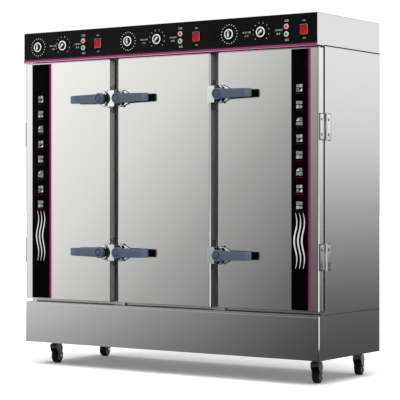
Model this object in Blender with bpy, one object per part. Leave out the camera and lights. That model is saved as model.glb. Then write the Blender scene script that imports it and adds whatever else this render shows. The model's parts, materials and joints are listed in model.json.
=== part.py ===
# Three-door bun steamer cabinet on casters, in metres, +Z up, with its front towards -Y.
# The origin lies on the floor, under the middle of the cabinet's whole outline.

import math

import bmesh
import bpy
from mathutils import Matrix, Vector

# Clearances shared by all pieces
CLEARANCE = 0.0003
OVERRUN = 0.004
SHEET = 0.002
ROUND_SIDES = 20
KNOB_SIDES = 16
SMALL_SIDES = 12

# Doors, the sizes that set the cabinet's width and height
DOOR_COUNT = 3
DOOR_WIDTH = 0.594
DOOR_HEIGHT = 1.312
DOOR_THICKNESS = 0.044
DOOR_GAP = 0.054
DOOR_SILL = 0.0185
DOOR_HEAD = 0.010
DOOR_SIDE_MARGIN = 0.0045
DOOR_CORNER = 0.003
DOOR_PLUG_INSET = 0.034
DOOR_PLUG_DEPTH = 0.010
GASKET_INSET = 0.012
GASKET_WIDTH = 0.016
GASKET_DEPTH = 0.016
GASKET_CORNER = 0.004

# Cabinet body
WALL = 0.030
BACK_WALL = 0.040
FRAME_THICKNESS = 0.025
MULLION_WIDTH = 0.070
MULLION_PROUD = 0.010
CHAMBER_FLOOR_THICKNESS = 0.026
COMPARTMENT_CEILING = 0.012
BODY_CORNER = 0.003
SKIRT_HEIGHT = 0.2245
SKIRT_CORNER = 0.006
SEAM_WIDTH = 0.0025
SEAM_DEPTH = 0.0015
BODY_DEPTH = 0.6385

# Header
HEADER_SIDE_INSET = 0.0025
HEADER_PROUD = 0.016
HEADER_HEIGHT = 0.1605
PANEL_THICKNESS = 0.004
TRIM_HEIGHT = 0.0135
TRIM_DROP = 0.004
TRIM_BULGE = 0.004

# Casters
CASTER_HEIGHT = 0.129
CASTER_SIDE_INSET = 0.0995
CASTER_FRONT_DEPTH = 0.143
CASTER_REAR_DEPTH = 0.583
CASTER_TURN_DEG = 12.4
CASTER_PLATE_WIDTH = 0.076
CASTER_PLATE_THICKNESS = 0.003
SWIVEL_RADIUS = 0.025
SWIVEL_DEPTH = 0.020
WHEEL_RADIUS = 0.0415
WHEEL_WIDTH = 0.038
WHEEL_TRAIL = 0.018
WHEEL_GAP = 0.0005
TYRE_SHOULDER = 0.007
TYRE_DEPTH = 0.012
HUB_RECESS = 0.006
HUB_RADIUS = 0.012
AXLE_RADIUS = 0.0045
FORK_SHEET = 0.003
FORK_EYE_RADIUS = 0.011
PEDAL_WIDTH = 0.030
PEDAL_LENGTH = 0.024
PEDAL_DROP = 0.010

# Hinges on the cabinet's outer sides
HINGE_HEIGHT = 0.136
HINGE_LOWER_Z = 0.642
HINGE_UPPER_Z = 1.290
HINGE_LEAF = 0.0018
HINGE_LEAF_REACH = 0.054
KNUCKLE_RADIUS = 0.0055
KNUCKLE_GAP = 0.0006
HINGE_PIN_RADIUS = 0.003
HINGE_BORE_GAP = 0.0004
HINGE_DOOR_MARGIN = 0.003

# Pivot of the middle door, top and bottom
PIVOT_INSET = 0.012
PIVOT_RADIUS = 0.004
PIVOT_DEPTH = 0.014
PIVOT_PLATE = 0.003
PIVOT_PLATE_GAP = 0.0006
PIVOT_PLATE_WIDTH = 0.022

# Latches and keepers
LATCH_LOWER_Z = 0.641
LATCH_UPPER_Z = 1.471
LATCH_SETBACK = 0.0255
LATCH_SETBACK_LEFT = 0.040
LEVER_REACH = 0.057
LEVER_TIP_REACH = 0.0465
LEVER_LENGTH = 0.200
LEVER_THICKNESS = 0.019
LEVER_ROOT_HEIGHT = 0.048
LEVER_TIP_HEIGHT = 0.041
LEVER_TIP_CORNER = 0.009
LEVER_STEP = 0.003
LEVER_EDGE = 0.003
BOSS_RADIUS = 0.030
BOSS_CHAMFER = 0.003
CAP_RADIUS = 0.018
CAP_GROOVE_WIDTH = 0.003
CAP_GROOVE_DEPTH = 0.003
EAR_OVERHANG = 0.0035
EAR_HEIGHT = 0.020
EAR_THICKNESS = 0.008
BASE_THICKNESS = 0.006
BASE_BEVEL = 0.002
BASE_HEIGHT = 0.100
BASE_EDGE_MARGIN = 0.003
BASE_LEVER_SIDE = 0.076
HOUSING_HALF_WIDTH = 0.0235
HOUSING_OVERHANG = 0.0045
HOUSING_HEIGHT = 0.088
HOUSING_TOP = 0.018
LATCH_PIN_RADIUS = 0.008
LATCH_PIN_LENGTH = 0.012
KEEPER_WIDTH = 0.043
KEEPER_HEIGHT = 0.086
KEEPER_REACH = 0.030
KEEPER_FLANGE_HEIGHT = 0.156
KEEPER_FLANGE = 0.003
KEEPER_SLOT = 0.014
KEEPER_SLOT_DEPTH = 0.010
KEEPER_CORNER = 0.003
KEEPER_STEP = 0.001

# Door strips
STRIP_WIDTH_LEFT = 0.118
STRIP_WIDTH_RIGHT = 0.092
STRIP_EDGE_WIDTH = 0.017
STRIP_END_MARGIN = 0.005
STRIP_THICKNESS = 0.003
STRIP_EDGE_THICKNESS = 0.0045
STRIP_OUTER_MARGIN = 0.045

# Controls, one set for each door, placed from the door's centre
CONTROL_DROP = 0.0805
TIMER_OFFSET = -0.219
HEAT_OFFSET = -0.027
TIMER_SHIFT_LEFT = 0.022
HEAT_SHIFT_LEFT = 0.007
LAMP_OFFSET = 0.123
LAMP_RISE = 0.019
ROCKER_OFFSET = 0.225
KNOB_RADIUS = 0.0275
KNOB_SKIRT = 0.005
KNOB_BODY_RADIUS = 0.020
KNOB_DEPTH = 0.021
KNOB_GRIP_WIDTH = 0.009
KNOB_GRIP_DEPTH = 0.007
KNOB_CHAMFER = 0.002
SHAFT_RADIUS = 0.003
SHAFT_LENGTH = 0.016
SHAFT_GAP = 0.0005
LAMP_RADIUS = 0.012
LAMP_RIM = 0.003
LAMP_DOME = 0.006
ROCKER_WIDTH = 0.038
ROCKER_HEIGHT = 0.040
ROCKER_FRONT = 0.009
ROCKER_DIP = 0.003
ROCKER_BACK = 0.012
ROCKER_BACK_HEIGHT = 0.020
ROCKER_SIDE_GAP = 0.0005
ROCKER_END_GAP = 0.0025
ROCKER_PIVOT_DEPTH = 0.006
ROCKER_TILT_DEG = 8.0
ROCKER_PIN_RADIUS = 0.002
ROCKER_PIN_LENGTH = 0.002
BEZEL_WALL = 0.0045
BEZEL_PROUD = 0.003
BEZEL_BACK = 0.014

# Steam chambers
PARTITION = 0.040
TANK_WALL = 0.016
TANK_FLOOR = 0.003
TANK_HEIGHT = 0.085
RACK_CLEARANCE = 0.005
RACK_POST = 0.012
RACK_LEVELS = 8
RACK_FIRST_LEVEL = 0.070
RACK_TOP_GAP = 0.020
RUNNER_WIDTH = 0.030
RUNNER_LIP = 0.012
RUNNER_SHEET = 0.002
RACK_BAR = 0.008
HEATER_RADIUS = 0.006
HEATER_PITCH = 0.080
HEATER_RISE = 0.030
HEATER_FRONT_GAP = 0.090
HEATER_BACK_GAP = 0.050
HEATER_FLANGE_HEIGHT = 0.036
HEATER_FLANGE = 0.004
HEATER_SIDES = 6
HEATER_TURN_STEPS = 5

# Fittings on the back, near the floor of the body
FITTING_REACH = 0.020
FITTING_HEIGHT = 0.070
FITTING_RADII = (0.010, 0.012, 0.016)
FITTING_PITCH = 0.090
FITTING_SIDE_INSET = 0.110

# Places that follow from the sizes above
DOOR_PITCH = DOOR_WIDTH + DOOR_GAP
BODY_WIDTH = DOOR_COUNT * DOOR_PITCH - DOOR_GAP + 2 * DOOR_SIDE_MARGIN
HALF_BODY = BODY_WIDTH / 2
INNER_HALF = HALF_BODY - WALL
DOOR_CENTRES = tuple((index - (DOOR_COUNT - 1) / 2) * DOOR_PITCH for index in range(DOOR_COUNT))
DOOR_NAMES = ("left", "middle", "right")
GAP_CENTRES = tuple(centre + DOOR_PITCH / 2 for centre in DOOR_CENTRES[:-1])

SKIRT_TOP = CASTER_HEIGHT + SKIRT_HEIGHT
DOOR_BOTTOM = SKIRT_TOP + DOOR_SILL
DOOR_TOP = DOOR_BOTTOM + DOOR_HEIGHT
BODY_TOP = DOOR_TOP + DOOR_HEAD
HEADER_TOP = BODY_TOP + HEADER_HEIGHT
CHAMBER_FLOOR = SKIRT_TOP + CHAMBER_FLOOR_THICKNESS
OPENING_BOTTOM = DOOR_BOTTOM + WALL
OPENING_TOP = DOOR_TOP - WALL
OPENING_HALF = DOOR_WIDTH / 2 - WALL
TANK_TOP = CHAMBER_FLOOR + TANK_HEIGHT
CONTROL_Z = HEADER_TOP - CONTROL_DROP
TRIM_BOTTOM = BODY_TOP - TRIM_DROP
TRIM_TOP = TRIM_BOTTOM + TRIM_HEIGHT
KNOB_XS = {
    "timer": [centre + TIMER_OFFSET for centre in DOOR_CENTRES],
    "heat": [centre + HEAT_OFFSET for centre in DOOR_CENTRES],
}
KNOB_XS["timer"][0] += TIMER_SHIFT_LEFT
KNOB_XS["heat"][0] += HEAT_SHIFT_LEFT
HINGE_HEIGHTS = (HINGE_LOWER_Z, HINGE_UPPER_Z)
LATCH_HEIGHTS = (LATCH_LOWER_Z, LATCH_UPPER_Z)

FRONT_Y = -(BODY_DEPTH + FITTING_REACH - LEVER_REACH) / 2
BODY_FRONT_Y = FRONT_Y + DOOR_THICKNESS + GASKET_DEPTH
FRAME_BACK_Y = BODY_FRONT_Y + FRAME_THICKNESS
MULLION_Y = BODY_FRONT_Y - MULLION_PROUD
CHAMBER_BACK_Y = FRONT_Y + BODY_DEPTH - BACK_WALL
BODY_BACK_Y = FRONT_Y + BODY_DEPTH
HEADER_FRONT_Y = FRONT_Y - HEADER_PROUD
HEADER_HALF = HALF_BODY - HEADER_SIDE_INSET
HINGE_X = HALF_BODY + CLEARANCE + KNUCKLE_RADIUS
HINGE_Y = BODY_FRONT_Y + KNUCKLE_RADIUS / 2
ORIGIN = Vector((0, 0, 0))

# Colours are linear red, green and blue, then roughness and metallic.
FINISHES = {
    "brushed steel": ((0.50, 0.51, 0.52), 0.32, 1.0),
    "polished steel": ((0.62, 0.63, 0.64), 0.12, 1.0),
    "chrome": ((0.75, 0.76, 0.77), 0.06, 1.0),
    "black panel": ((0.010, 0.010, 0.011), 0.15, 0.0),
    "magenta trim": ((0.52, 0.022, 0.19), 0.2, 0.0),
    "lever plastic": ((0.105, 0.130, 0.215), 0.42, 0.0),
    "red rocker": ((0.60, 0.016, 0.020), 0.25, 0.0),
    "knob plastic": ((0.42, 0.43, 0.44), 0.30, 0.6),
    "gasket rubber": ((0.020, 0.020, 0.021), 0.7, 0.0),
    "caster steel": ((0.22, 0.23, 0.24), 0.35, 0.9),
    "caster tyre": ((0.012, 0.012, 0.013), 0.6, 0.0),
    "heater metal": ((0.30, 0.28, 0.26), 0.4, 1.0),
}


def clear_scene():
    for item in list(bpy.data.objects):
        bpy.data.objects.remove(item, do_unlink=True)


def finish_material(name):
    found = bpy.data.materials.get(name)
    if found:
        return found
    colour, roughness, metallic = FINISHES[name]
    material = bpy.data.materials.new(name)
    material.use_nodes = True
    shader = material.node_tree.nodes["Principled BSDF"]
    shader.inputs["Base Color"].default_value = (*colour, 1)
    shader.inputs["Roughness"].default_value = roughness
    shader.inputs["Metallic"].default_value = metallic
    material.diffuse_color = (*colour, 1)
    return material


# Basic forms, each drawn into a bmesh in world coordinates

def add_box(bm, low, high, corner=0, corner_axis=None, segments=2):
    """Box between two corners; its edges are rounded all over or only along one axis."""
    middle = [(a + b) / 2 for a, b in zip(low, high)]
    size = [b - a for a, b in zip(low, high)]
    matrix = Matrix.Translation(middle) @ Matrix.Diagonal((*size, 1))
    made = bmesh.ops.create_cube(bm, size=1, matrix=matrix)
    if corner > 0:
        edges = {edge for vert in made["verts"] for edge in vert.link_edges}
        if corner_axis is not None:
            edges = {edge for edge in edges if runs_along(edge, corner_axis)}
        bmesh.ops.bevel(bm, geom=list(edges), offset=corner, segments=segments, affect="EDGES", profile=0.5)


def runs_along(edge, axis):
    way = (edge.verts[1].co - edge.verts[0].co).normalized()
    return abs(way[axis]) > math.cos(math.radians(1))


def add_prism(bm, outline, axis, start, end, corner=0, corner_end=None):
    """Outline in the two axes that follow the given one, drawn out from start to end."""
    first, second = (axis + 1) % 3, (axis + 2) % 3
    ring = []
    for along, across in outline:
        point = [0, 0, 0]
        point[axis] = start
        point[first] = along
        point[second] = across
        ring.append(bm.verts.new(point))
    base = bm.faces.new(ring)
    grown = bmesh.ops.extrude_face_region(bm, geom=[base])
    far = [item for item in grown["geom"] if isinstance(item, bmesh.types.BMVert)]
    shift = [0, 0, 0]
    shift[axis] = end - start
    bmesh.ops.translate(bm, verts=far, vec=shift)
    if corner > 0:
        side = set(far) if corner_end else set(ring)
        edges = [edge for edge in bm.edges if edge.verts[0] in side and edge.verts[1] in side]
        bmesh.ops.bevel(bm, geom=edges, offset=corner, segments=1, affect="EDGES")


def add_turned(bm, profile, axis, centre, sides=ROUND_SIDES, closed=False):
    """Profile of (radius, height) points turned about an axis through centre."""
    verts = [bm.verts.new((radius, 0, height)) for radius, height in profile]
    pairs = list(zip(verts, verts[1:]))
    if closed:
        pairs.append((verts[-1], verts[0]))
    edges = [bm.edges.new(pair) for pair in pairs]
    before = set(bm.faces)
    bmesh.ops.spin(
        bm, geom=verts + edges, cent=(0, 0, 0), axis=(0, 0, 1), dvec=(0, 0, 0),
        angle=math.tau, steps=sides, use_merge=True)
    made = [face for face in bm.faces if face not in before]
    points = list({vert for face in made for vert in face.verts})
    turn = {0: Matrix.Rotation(math.pi / 2, 4, "Y"), 1: Matrix.Rotation(-math.pi / 2, 4, "X"), 2: Matrix()}
    bmesh.ops.transform(bm, matrix=Matrix.Translation(centre) @ turn[axis], verts=points)
    bmesh.ops.remove_doubles(bm, verts=points, dist=CLEARANCE / 10)


def add_cylinder(bm, radius, axis, centre, start, end, sides=ROUND_SIDES):
    """Rod along an axis through centre, from start to end in world coordinates."""
    foot = Vector(centre)
    foot[axis] = 0
    add_turned(bm, ((0, start), (radius, start), (radius, end), (0, end)), axis, foot, sides)


# Objects, modifiers and placing

PLACES = {}


def make_pivot(name, at, parent=None):
    pivot = bpy.data.objects.new(name, None)
    pivot.empty_display_size = LEVER_REACH
    put_in_scene(pivot, at, parent)
    return pivot


def put_in_scene(item, at, parent):
    bpy.context.scene.collection.objects.link(item)
    PLACES[item.name] = Vector(at)
    if parent:
        item.parent = parent
        item.location = Vector(at) - PLACES[parent.name]
    else:
        item.location = at


def make_piece(name, draw, finish, at=ORIGIN, parent=None, smooth=False):
    """Object drawn in world coordinates, with its origin moved to the given place."""
    bm = bmesh.new()
    draw(bm)
    bmesh.ops.recalc_face_normals(bm, faces=bm.faces)
    bmesh.ops.translate(bm, verts=bm.verts, vec=-Vector(at))
    mesh = bpy.data.meshes.new(name)
    bm.to_mesh(mesh)
    bm.free()
    if smooth:
        mesh.shade_smooth()
        mesh.set_sharp_from_angle(angle=math.radians(32))
    piece = bpy.data.objects.new(name, mesh)
    piece.data.materials.append(finish_material(finish))
    put_in_scene(piece, at, parent)
    return piece


def combine(piece, draw, operation):
    """Adds or cuts a form, kept as a hidden tool with a live Boolean."""
    tool = make_piece(piece.name + "_tool", draw, piece.data.materials[0].name)
    tool.display_type = "WIRE"
    tool.hide_render = True
    boolean = piece.modifiers.new(operation.lower(), "BOOLEAN")
    boolean.solver = "EXACT"
    boolean.operation = operation
    boolean.object = tool


def join(piece, draw):
    combine(piece, draw, "UNION")


def cut(piece, draw):
    combine(piece, draw, "DIFFERENCE")


# Cabinet body

def make_outer_casing():
    def block(bm):
        add_box(bm, (-HALF_BODY, BODY_FRONT_Y, CASTER_HEIGHT), (HALF_BODY, BODY_BACK_Y, BODY_TOP))
        back = [edge for edge in bm.edges
                if runs_along(edge, 2) and edge.verts[0].co.y > BODY_BACK_Y - CLEARANCE]
        bmesh.ops.bevel(bm, geom=back, offset=BODY_CORNER, segments=2, affect="EDGES", profile=0.5)

    def chambers(bm):
        seat = FRAME_BACK_Y + CLEARANCE
        outline = (
            (BODY_FRONT_Y - OVERRUN, SKIRT_TOP),
            (seat, SKIRT_TOP),
            (seat, CHAMBER_FLOOR),
            (CHAMBER_BACK_Y, CHAMBER_FLOOR),
            (CHAMBER_BACK_Y, OPENING_TOP),
            (seat, OPENING_TOP),
            (seat, BODY_TOP + OVERRUN),
            (BODY_FRONT_Y - OVERRUN, BODY_TOP + OVERRUN),
        )
        add_prism(bm, outline, 0, -INNER_HALF, INNER_HALF)

    def compartment(bm):
        low = (-INNER_HALF, BODY_FRONT_Y - OVERRUN, CASTER_HEIGHT + SHEET)
        high = (INNER_HALF, CHAMBER_BACK_Y, SKIRT_TOP - COMPARTMENT_CEILING)
        add_box(bm, low, high)

    def base_seam(bm):
        """Shadow line round the sides and back, where the base meets the body."""
        front = BODY_FRONT_Y - OVERRUN
        outer = HALF_BODY + OVERRUN
        inner = HALF_BODY - SEAM_DEPTH
        outline = (
            (-outer, front),
            (-inner, front),
            (-inner, BODY_BACK_Y - SEAM_DEPTH),
            (inner, BODY_BACK_Y - SEAM_DEPTH),
            (inner, front),
            (outer, front),
            (outer, BODY_BACK_Y + OVERRUN),
            (-outer, BODY_BACK_Y + OVERRUN),
        )
        add_prism(bm, outline, 2, SKIRT_TOP - SEAM_WIDTH / 2, SKIRT_TOP + SEAM_WIDTH / 2)

    casing = make_piece("outer_casing", block, "brushed steel")
    cut(casing, chambers)
    cut(casing, compartment)
    cut(casing, base_seam)
    join(casing, draw_caster_plates)
    join(casing, draw_rear_fittings)


def caster_places():
    places = {}
    for side, x in (("left", -1), ("right", 1)):
        for end, depth in (("front", CASTER_FRONT_DEPTH), ("rear", CASTER_REAR_DEPTH)):
            places[end + "_" + side] = (x * (HALF_BODY - CASTER_SIDE_INSET), FRONT_Y + depth)
    return places


def draw_caster_plates(bm):
    half = CASTER_PLATE_WIDTH / 2
    low_z = CASTER_HEIGHT - CASTER_PLATE_THICKNESS
    for x, y in caster_places().values():
        add_box(bm, (x - half, y - half, low_z), (x + half, y + half, CASTER_HEIGHT + SHEET / 2))


def draw_rear_fittings(bm):
    """Water inlet, cable gland and drain, in a row on the back."""
    height = CASTER_HEIGHT + FITTING_HEIGHT
    for index, radius in enumerate(FITTING_RADII):
        x = HALF_BODY - FITTING_SIDE_INSET - index * FITTING_PITCH
        start = BODY_BACK_Y - OVERRUN
        add_cylinder(bm, radius, 1, (x, 0, height), start, BODY_BACK_Y + FITTING_REACH, SMALL_SIDES)


def make_front_frame(pivot):
    half = INNER_HALF - CLEARANCE

    def plate(bm):
        low = (-half, BODY_FRONT_Y, SKIRT_TOP + CLEARANCE)
        high = (half, FRAME_BACK_Y, BODY_TOP - CLEARANCE)
        add_box(bm, low, high)

    def openings(bm):
        for centre in DOOR_CENTRES:
            low = (centre - OPENING_HALF, BODY_FRONT_Y - OVERRUN, OPENING_BOTTOM)
            high = (centre + OPENING_HALF, FRAME_BACK_Y + OVERRUN, OPENING_TOP)
            add_box(bm, low, high)

    def mullions(bm):
        for centre in GAP_CENTRES:
            low = (centre - MULLION_WIDTH / 2, MULLION_Y, SKIRT_TOP + CLEARANCE + SHEET)
            high = (centre + MULLION_WIDTH / 2, BODY_FRONT_Y + OVERRUN, BODY_TOP - CLEARANCE - SHEET)
            add_box(bm, low, high)

    def pivot_plates(bm):
        x, y = pivot[0], pivot[1]
        half_plate = PIVOT_PLATE_WIDTH / 2
        for level, way in ((DOOR_TOP, 1), (DOOR_BOTTOM, -1)):
            near = level + way * PIVOT_PLATE_GAP
            far = near + way * PIVOT_PLATE
            low = (x - half_plate, FRONT_Y, min(near, far))
            high = (x + half_plate, BODY_FRONT_Y + OVERRUN, max(near, far))
            add_box(bm, low, high)

    def pivot_pins(bm):
        for level, way in ((DOOR_TOP, 1), (DOOR_BOTTOM, -1)):
            ends = sorted((level - way * PIVOT_DEPTH, level + way * (PIVOT_PLATE_GAP + PIVOT_PLATE / 2)))
            add_cylinder(bm, PIVOT_RADIUS, 2, pivot, ends[0], ends[1], SMALL_SIDES)

    frame = make_piece("front_frame", plate, "brushed steel")
    cut(frame, openings)
    join(frame, mullions)
    join(frame, pivot_plates)
    join(frame, pivot_pins)


def make_partitions():
    for name, centre in zip(("left", "right"), GAP_CENTRES):
        def wall(bm, centre=centre):
            low = (centre - PARTITION / 2, FRAME_BACK_Y + CLEARANCE, TANK_TOP + CLEARANCE)
            high = (centre + PARTITION / 2, CHAMBER_BACK_Y - CLEARANCE, OPENING_TOP - CLEARANCE)
            add_box(bm, low, high)
        make_piece("partition_" + name, wall, "brushed steel")


def make_water_tank():
    front_y = FRAME_BACK_Y + 2 * CLEARANCE
    back_y = CHAMBER_BACK_Y - CLEARANCE
    half = INNER_HALF - CLEARANCE

    def block(bm):
        add_box(bm, (-half, front_y, CHAMBER_FLOOR + CLEARANCE), (half, back_y, TANK_TOP))

    def basins(bm):
        reach = DOOR_PITCH / 2 - PARTITION / 2 - SHEET
        for centre in DOOR_CENTRES:
            low_x = max(centre - reach, -half + SHEET)
            high_x = min(centre + reach, half - SHEET)
            low = (low_x, front_y + TANK_WALL, CHAMBER_FLOOR + TANK_FLOOR)
            high = (high_x, back_y - TANK_WALL, TANK_TOP + OVERRUN)
            add_box(bm, low, high)

    tank = make_piece("water_tank", block, "brushed steel")
    cut(tank, basins)


def heater_route(centre):
    """Three turns of a tube that starts and ends at the flange on the tank's back wall."""
    wall_y = CHAMBER_BACK_Y - CLEARANCE - TANK_WALL - CLEARANCE - HEATER_FLANGE / 2
    front_y = FRAME_BACK_Y + TANK_WALL + HEATER_FRONT_GAP
    back_y = wall_y - HEATER_BACK_GAP
    z = CHAMBER_FLOOR + HEATER_RISE
    radius = HEATER_PITCH / 2
    points = [(centre - 3 * radius, wall_y, z)]
    for index, (middle_y, way) in enumerate(((front_y, -1), (back_y, 1), (front_y, -1))):
        middle_x = centre + (index - 1) * HEATER_PITCH
        for step in range(HEATER_TURN_STEPS + 1):
            angle = math.pi * step / HEATER_TURN_STEPS
            x = middle_x - radius * math.cos(angle)
            points.append((x, middle_y + way * radius * math.sin(angle), z))
    points.append((centre + 3 * radius, wall_y, z))
    return points


def add_tube(bm, points, radius, sides):
    """Round tube through points that lie in one level plane."""
    rings = []
    for index, point in enumerate(points):
        before = Vector(points[max(index - 1, 0)])
        after = Vector(points[min(index + 1, len(points) - 1)])
        way = (after - before).normalized()
        side = Vector((way.y, -way.x, 0))
        ring = []
        for step in range(sides):
            angle = math.tau * step / sides
            offset = side * radius * math.cos(angle) + Vector((0, 0, radius * math.sin(angle)))
            ring.append(bm.verts.new(Vector(point) + offset))
        rings.append(ring)
    for near, far in zip(rings, rings[1:]):
        for step in range(sides):
            after = (step + 1) % sides
            bm.faces.new((near[step], near[after], far[after], far[step]))
    bm.faces.new(rings[0])
    bm.faces.new(rings[-1])


def make_heaters():
    for name, centre in zip(DOOR_NAMES, DOOR_CENTRES):
        z = CHAMBER_FLOOR + HEATER_RISE
        wall_y = CHAMBER_BACK_Y - TANK_WALL - 2 * CLEARANCE
        half = 3 * HEATER_PITCH / 2 + HEATER_FLANGE_HEIGHT / 2

        def tube(bm, centre=centre):
            add_tube(bm, heater_route(centre), HEATER_RADIUS, HEATER_SIDES)

        def flange(bm, centre=centre, z=z, wall_y=wall_y, half=half):
            low = (centre - half, wall_y - HEATER_FLANGE, z - HEATER_FLANGE_HEIGHT / 2)
            high = (centre + half, wall_y, z + HEATER_FLANGE_HEIGHT / 2)
            add_box(bm, low, high)

        heater = make_piece("heater_" + name, tube, "heater metal", smooth=True)
        join(heater, flange)


def rack_levels():
    bottom = TANK_TOP + RACK_FIRST_LEVEL
    top = OPENING_TOP - RACK_TOP_GAP - RACK_FIRST_LEVEL
    return [bottom + (top - bottom) * index / (RACK_LEVELS - 1) for index in range(RACK_LEVELS)]


def make_tray_racks():
    """Each rack is two ladders of tray runners, tied by bars, standing on the tank's rim."""
    half = OPENING_HALF - RACK_CLEARANCE
    posts_y = (
        FRAME_BACK_Y + 2 * CLEARANCE + (TANK_WALL - RACK_POST) / 2,
        CHAMBER_BACK_Y - CLEARANCE - (TANK_WALL + RACK_POST) / 2,
    )
    foot = TANK_TOP + CLEARANCE
    head = OPENING_TOP - RACK_TOP_GAP
    for name, centre in zip(DOOR_NAMES, DOOR_CENTRES):
        def posts(bm, centre=centre):
            for side in (-1, 1):
                ends = sorted((centre + side * half, centre + side * (half - RACK_POST)))
                for y in posts_y:
                    add_box(bm, (ends[0], y, foot), (ends[1], y + RACK_POST, head))

        def runners(bm, centre=centre):
            start_y = posts_y[0] + RACK_POST / 2
            end_y = posts_y[1] + RACK_POST / 2
            for side in (-1, 1):
                outer = centre + side * (half - RUNNER_SHEET / 2)
                for z in rack_levels():
                    outline = (
                        (z, outer),
                        (z, outer - side * RUNNER_WIDTH),
                        (z + RUNNER_SHEET, outer - side * RUNNER_WIDTH),
                        (z + RUNNER_SHEET, outer - side * RUNNER_SHEET),
                        (z + RUNNER_LIP, outer - side * RUNNER_SHEET),
                        (z + RUNNER_LIP, outer),
                    )
                    add_prism(bm, outline, 1, start_y, end_y)

        def bars(bm, centre=centre):
            inset = (RACK_POST - RACK_BAR) / 2
            for y, z in ((posts_y[0], foot), (posts_y[1], foot), (posts_y[1], head - RACK_BAR)):
                low = (centre - half + inset, y + inset, z + inset / 2)
                high = (centre + half - inset, y + inset + RACK_BAR, z + RACK_BAR)
                add_box(bm, low, high)

        rack = make_piece("tray_rack_" + name, posts, "polished steel")
        join(rack, runners)
        join(rack, bars)


def make_base_skirt():
    def shell(bm):
        low = (-HALF_BODY, FRONT_Y, CASTER_HEIGHT)
        high = (HALF_BODY, BODY_FRONT_Y - CLEARANCE, SKIRT_TOP - CLEARANCE)
        add_box(bm, low, high)
        front = [edge for edge in bm.edges
                 if runs_along(edge, 2) and edge.verts[0].co.y < FRONT_Y + CLEARANCE]
        bmesh.ops.bevel(bm, geom=front, offset=SKIRT_CORNER, segments=3, affect="EDGES", profile=0.5)

    def inside(bm):
        low = (-HALF_BODY + SHEET, FRONT_Y + SHEET, CASTER_HEIGHT - OVERRUN)
        high = (HALF_BODY - SHEET, BODY_FRONT_Y + OVERRUN, SKIRT_TOP - CLEARANCE - SHEET)
        add_box(bm, low, high, SKIRT_CORNER - SHEET, 2)

    skirt = make_piece("base_skirt", shell, "brushed steel")
    cut(skirt, inside)


# Header and controls

def make_header():
    def shell(bm):
        low = (-HEADER_HALF, HEADER_FRONT_Y + PANEL_THICKNESS + CLEARANCE, BODY_TOP + CLEARANCE)
        high = (HEADER_HALF, BODY_BACK_Y, HEADER_TOP)
        add_box(bm, low, high)
        back = [edge for edge in bm.edges
                if runs_along(edge, 2) and edge.verts[0].co.y > BODY_BACK_Y - CLEARANCE]
        bmesh.ops.bevel(bm, geom=back, offset=BODY_CORNER, segments=2, affect="EDGES", profile=0.5)

    def inside(bm):
        low = (-HEADER_HALF + SHEET, HEADER_FRONT_Y - OVERRUN, BODY_TOP + CLEARANCE + SHEET)
        high = (HEADER_HALF - SHEET, BODY_BACK_Y - SHEET, HEADER_TOP - SHEET)
        add_box(bm, low, high)

    casing = make_piece("header_casing", shell, "brushed steel")
    cut(casing, inside)

    def bead(bm):
        steps = 6
        back_y = HEADER_FRONT_Y + PANEL_THICKNESS
        outline = [(back_y, TRIM_BOTTOM), (back_y, TRIM_TOP)]
        for step in range(steps + 1):
            angle = math.pi * step / steps
            y = HEADER_FRONT_Y - TRIM_BULGE * math.sin(angle)
            outline.append((y, TRIM_BOTTOM + TRIM_HEIGHT * (1 + math.cos(angle)) / 2))
        add_prism(bm, outline, 0, -HEADER_HALF, HEADER_HALF)

    make_piece("header_trim", bead, "magenta trim", smooth=True)


def control_places(offset):
    return [centre + offset for centre in DOOR_CENTRES]


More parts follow.
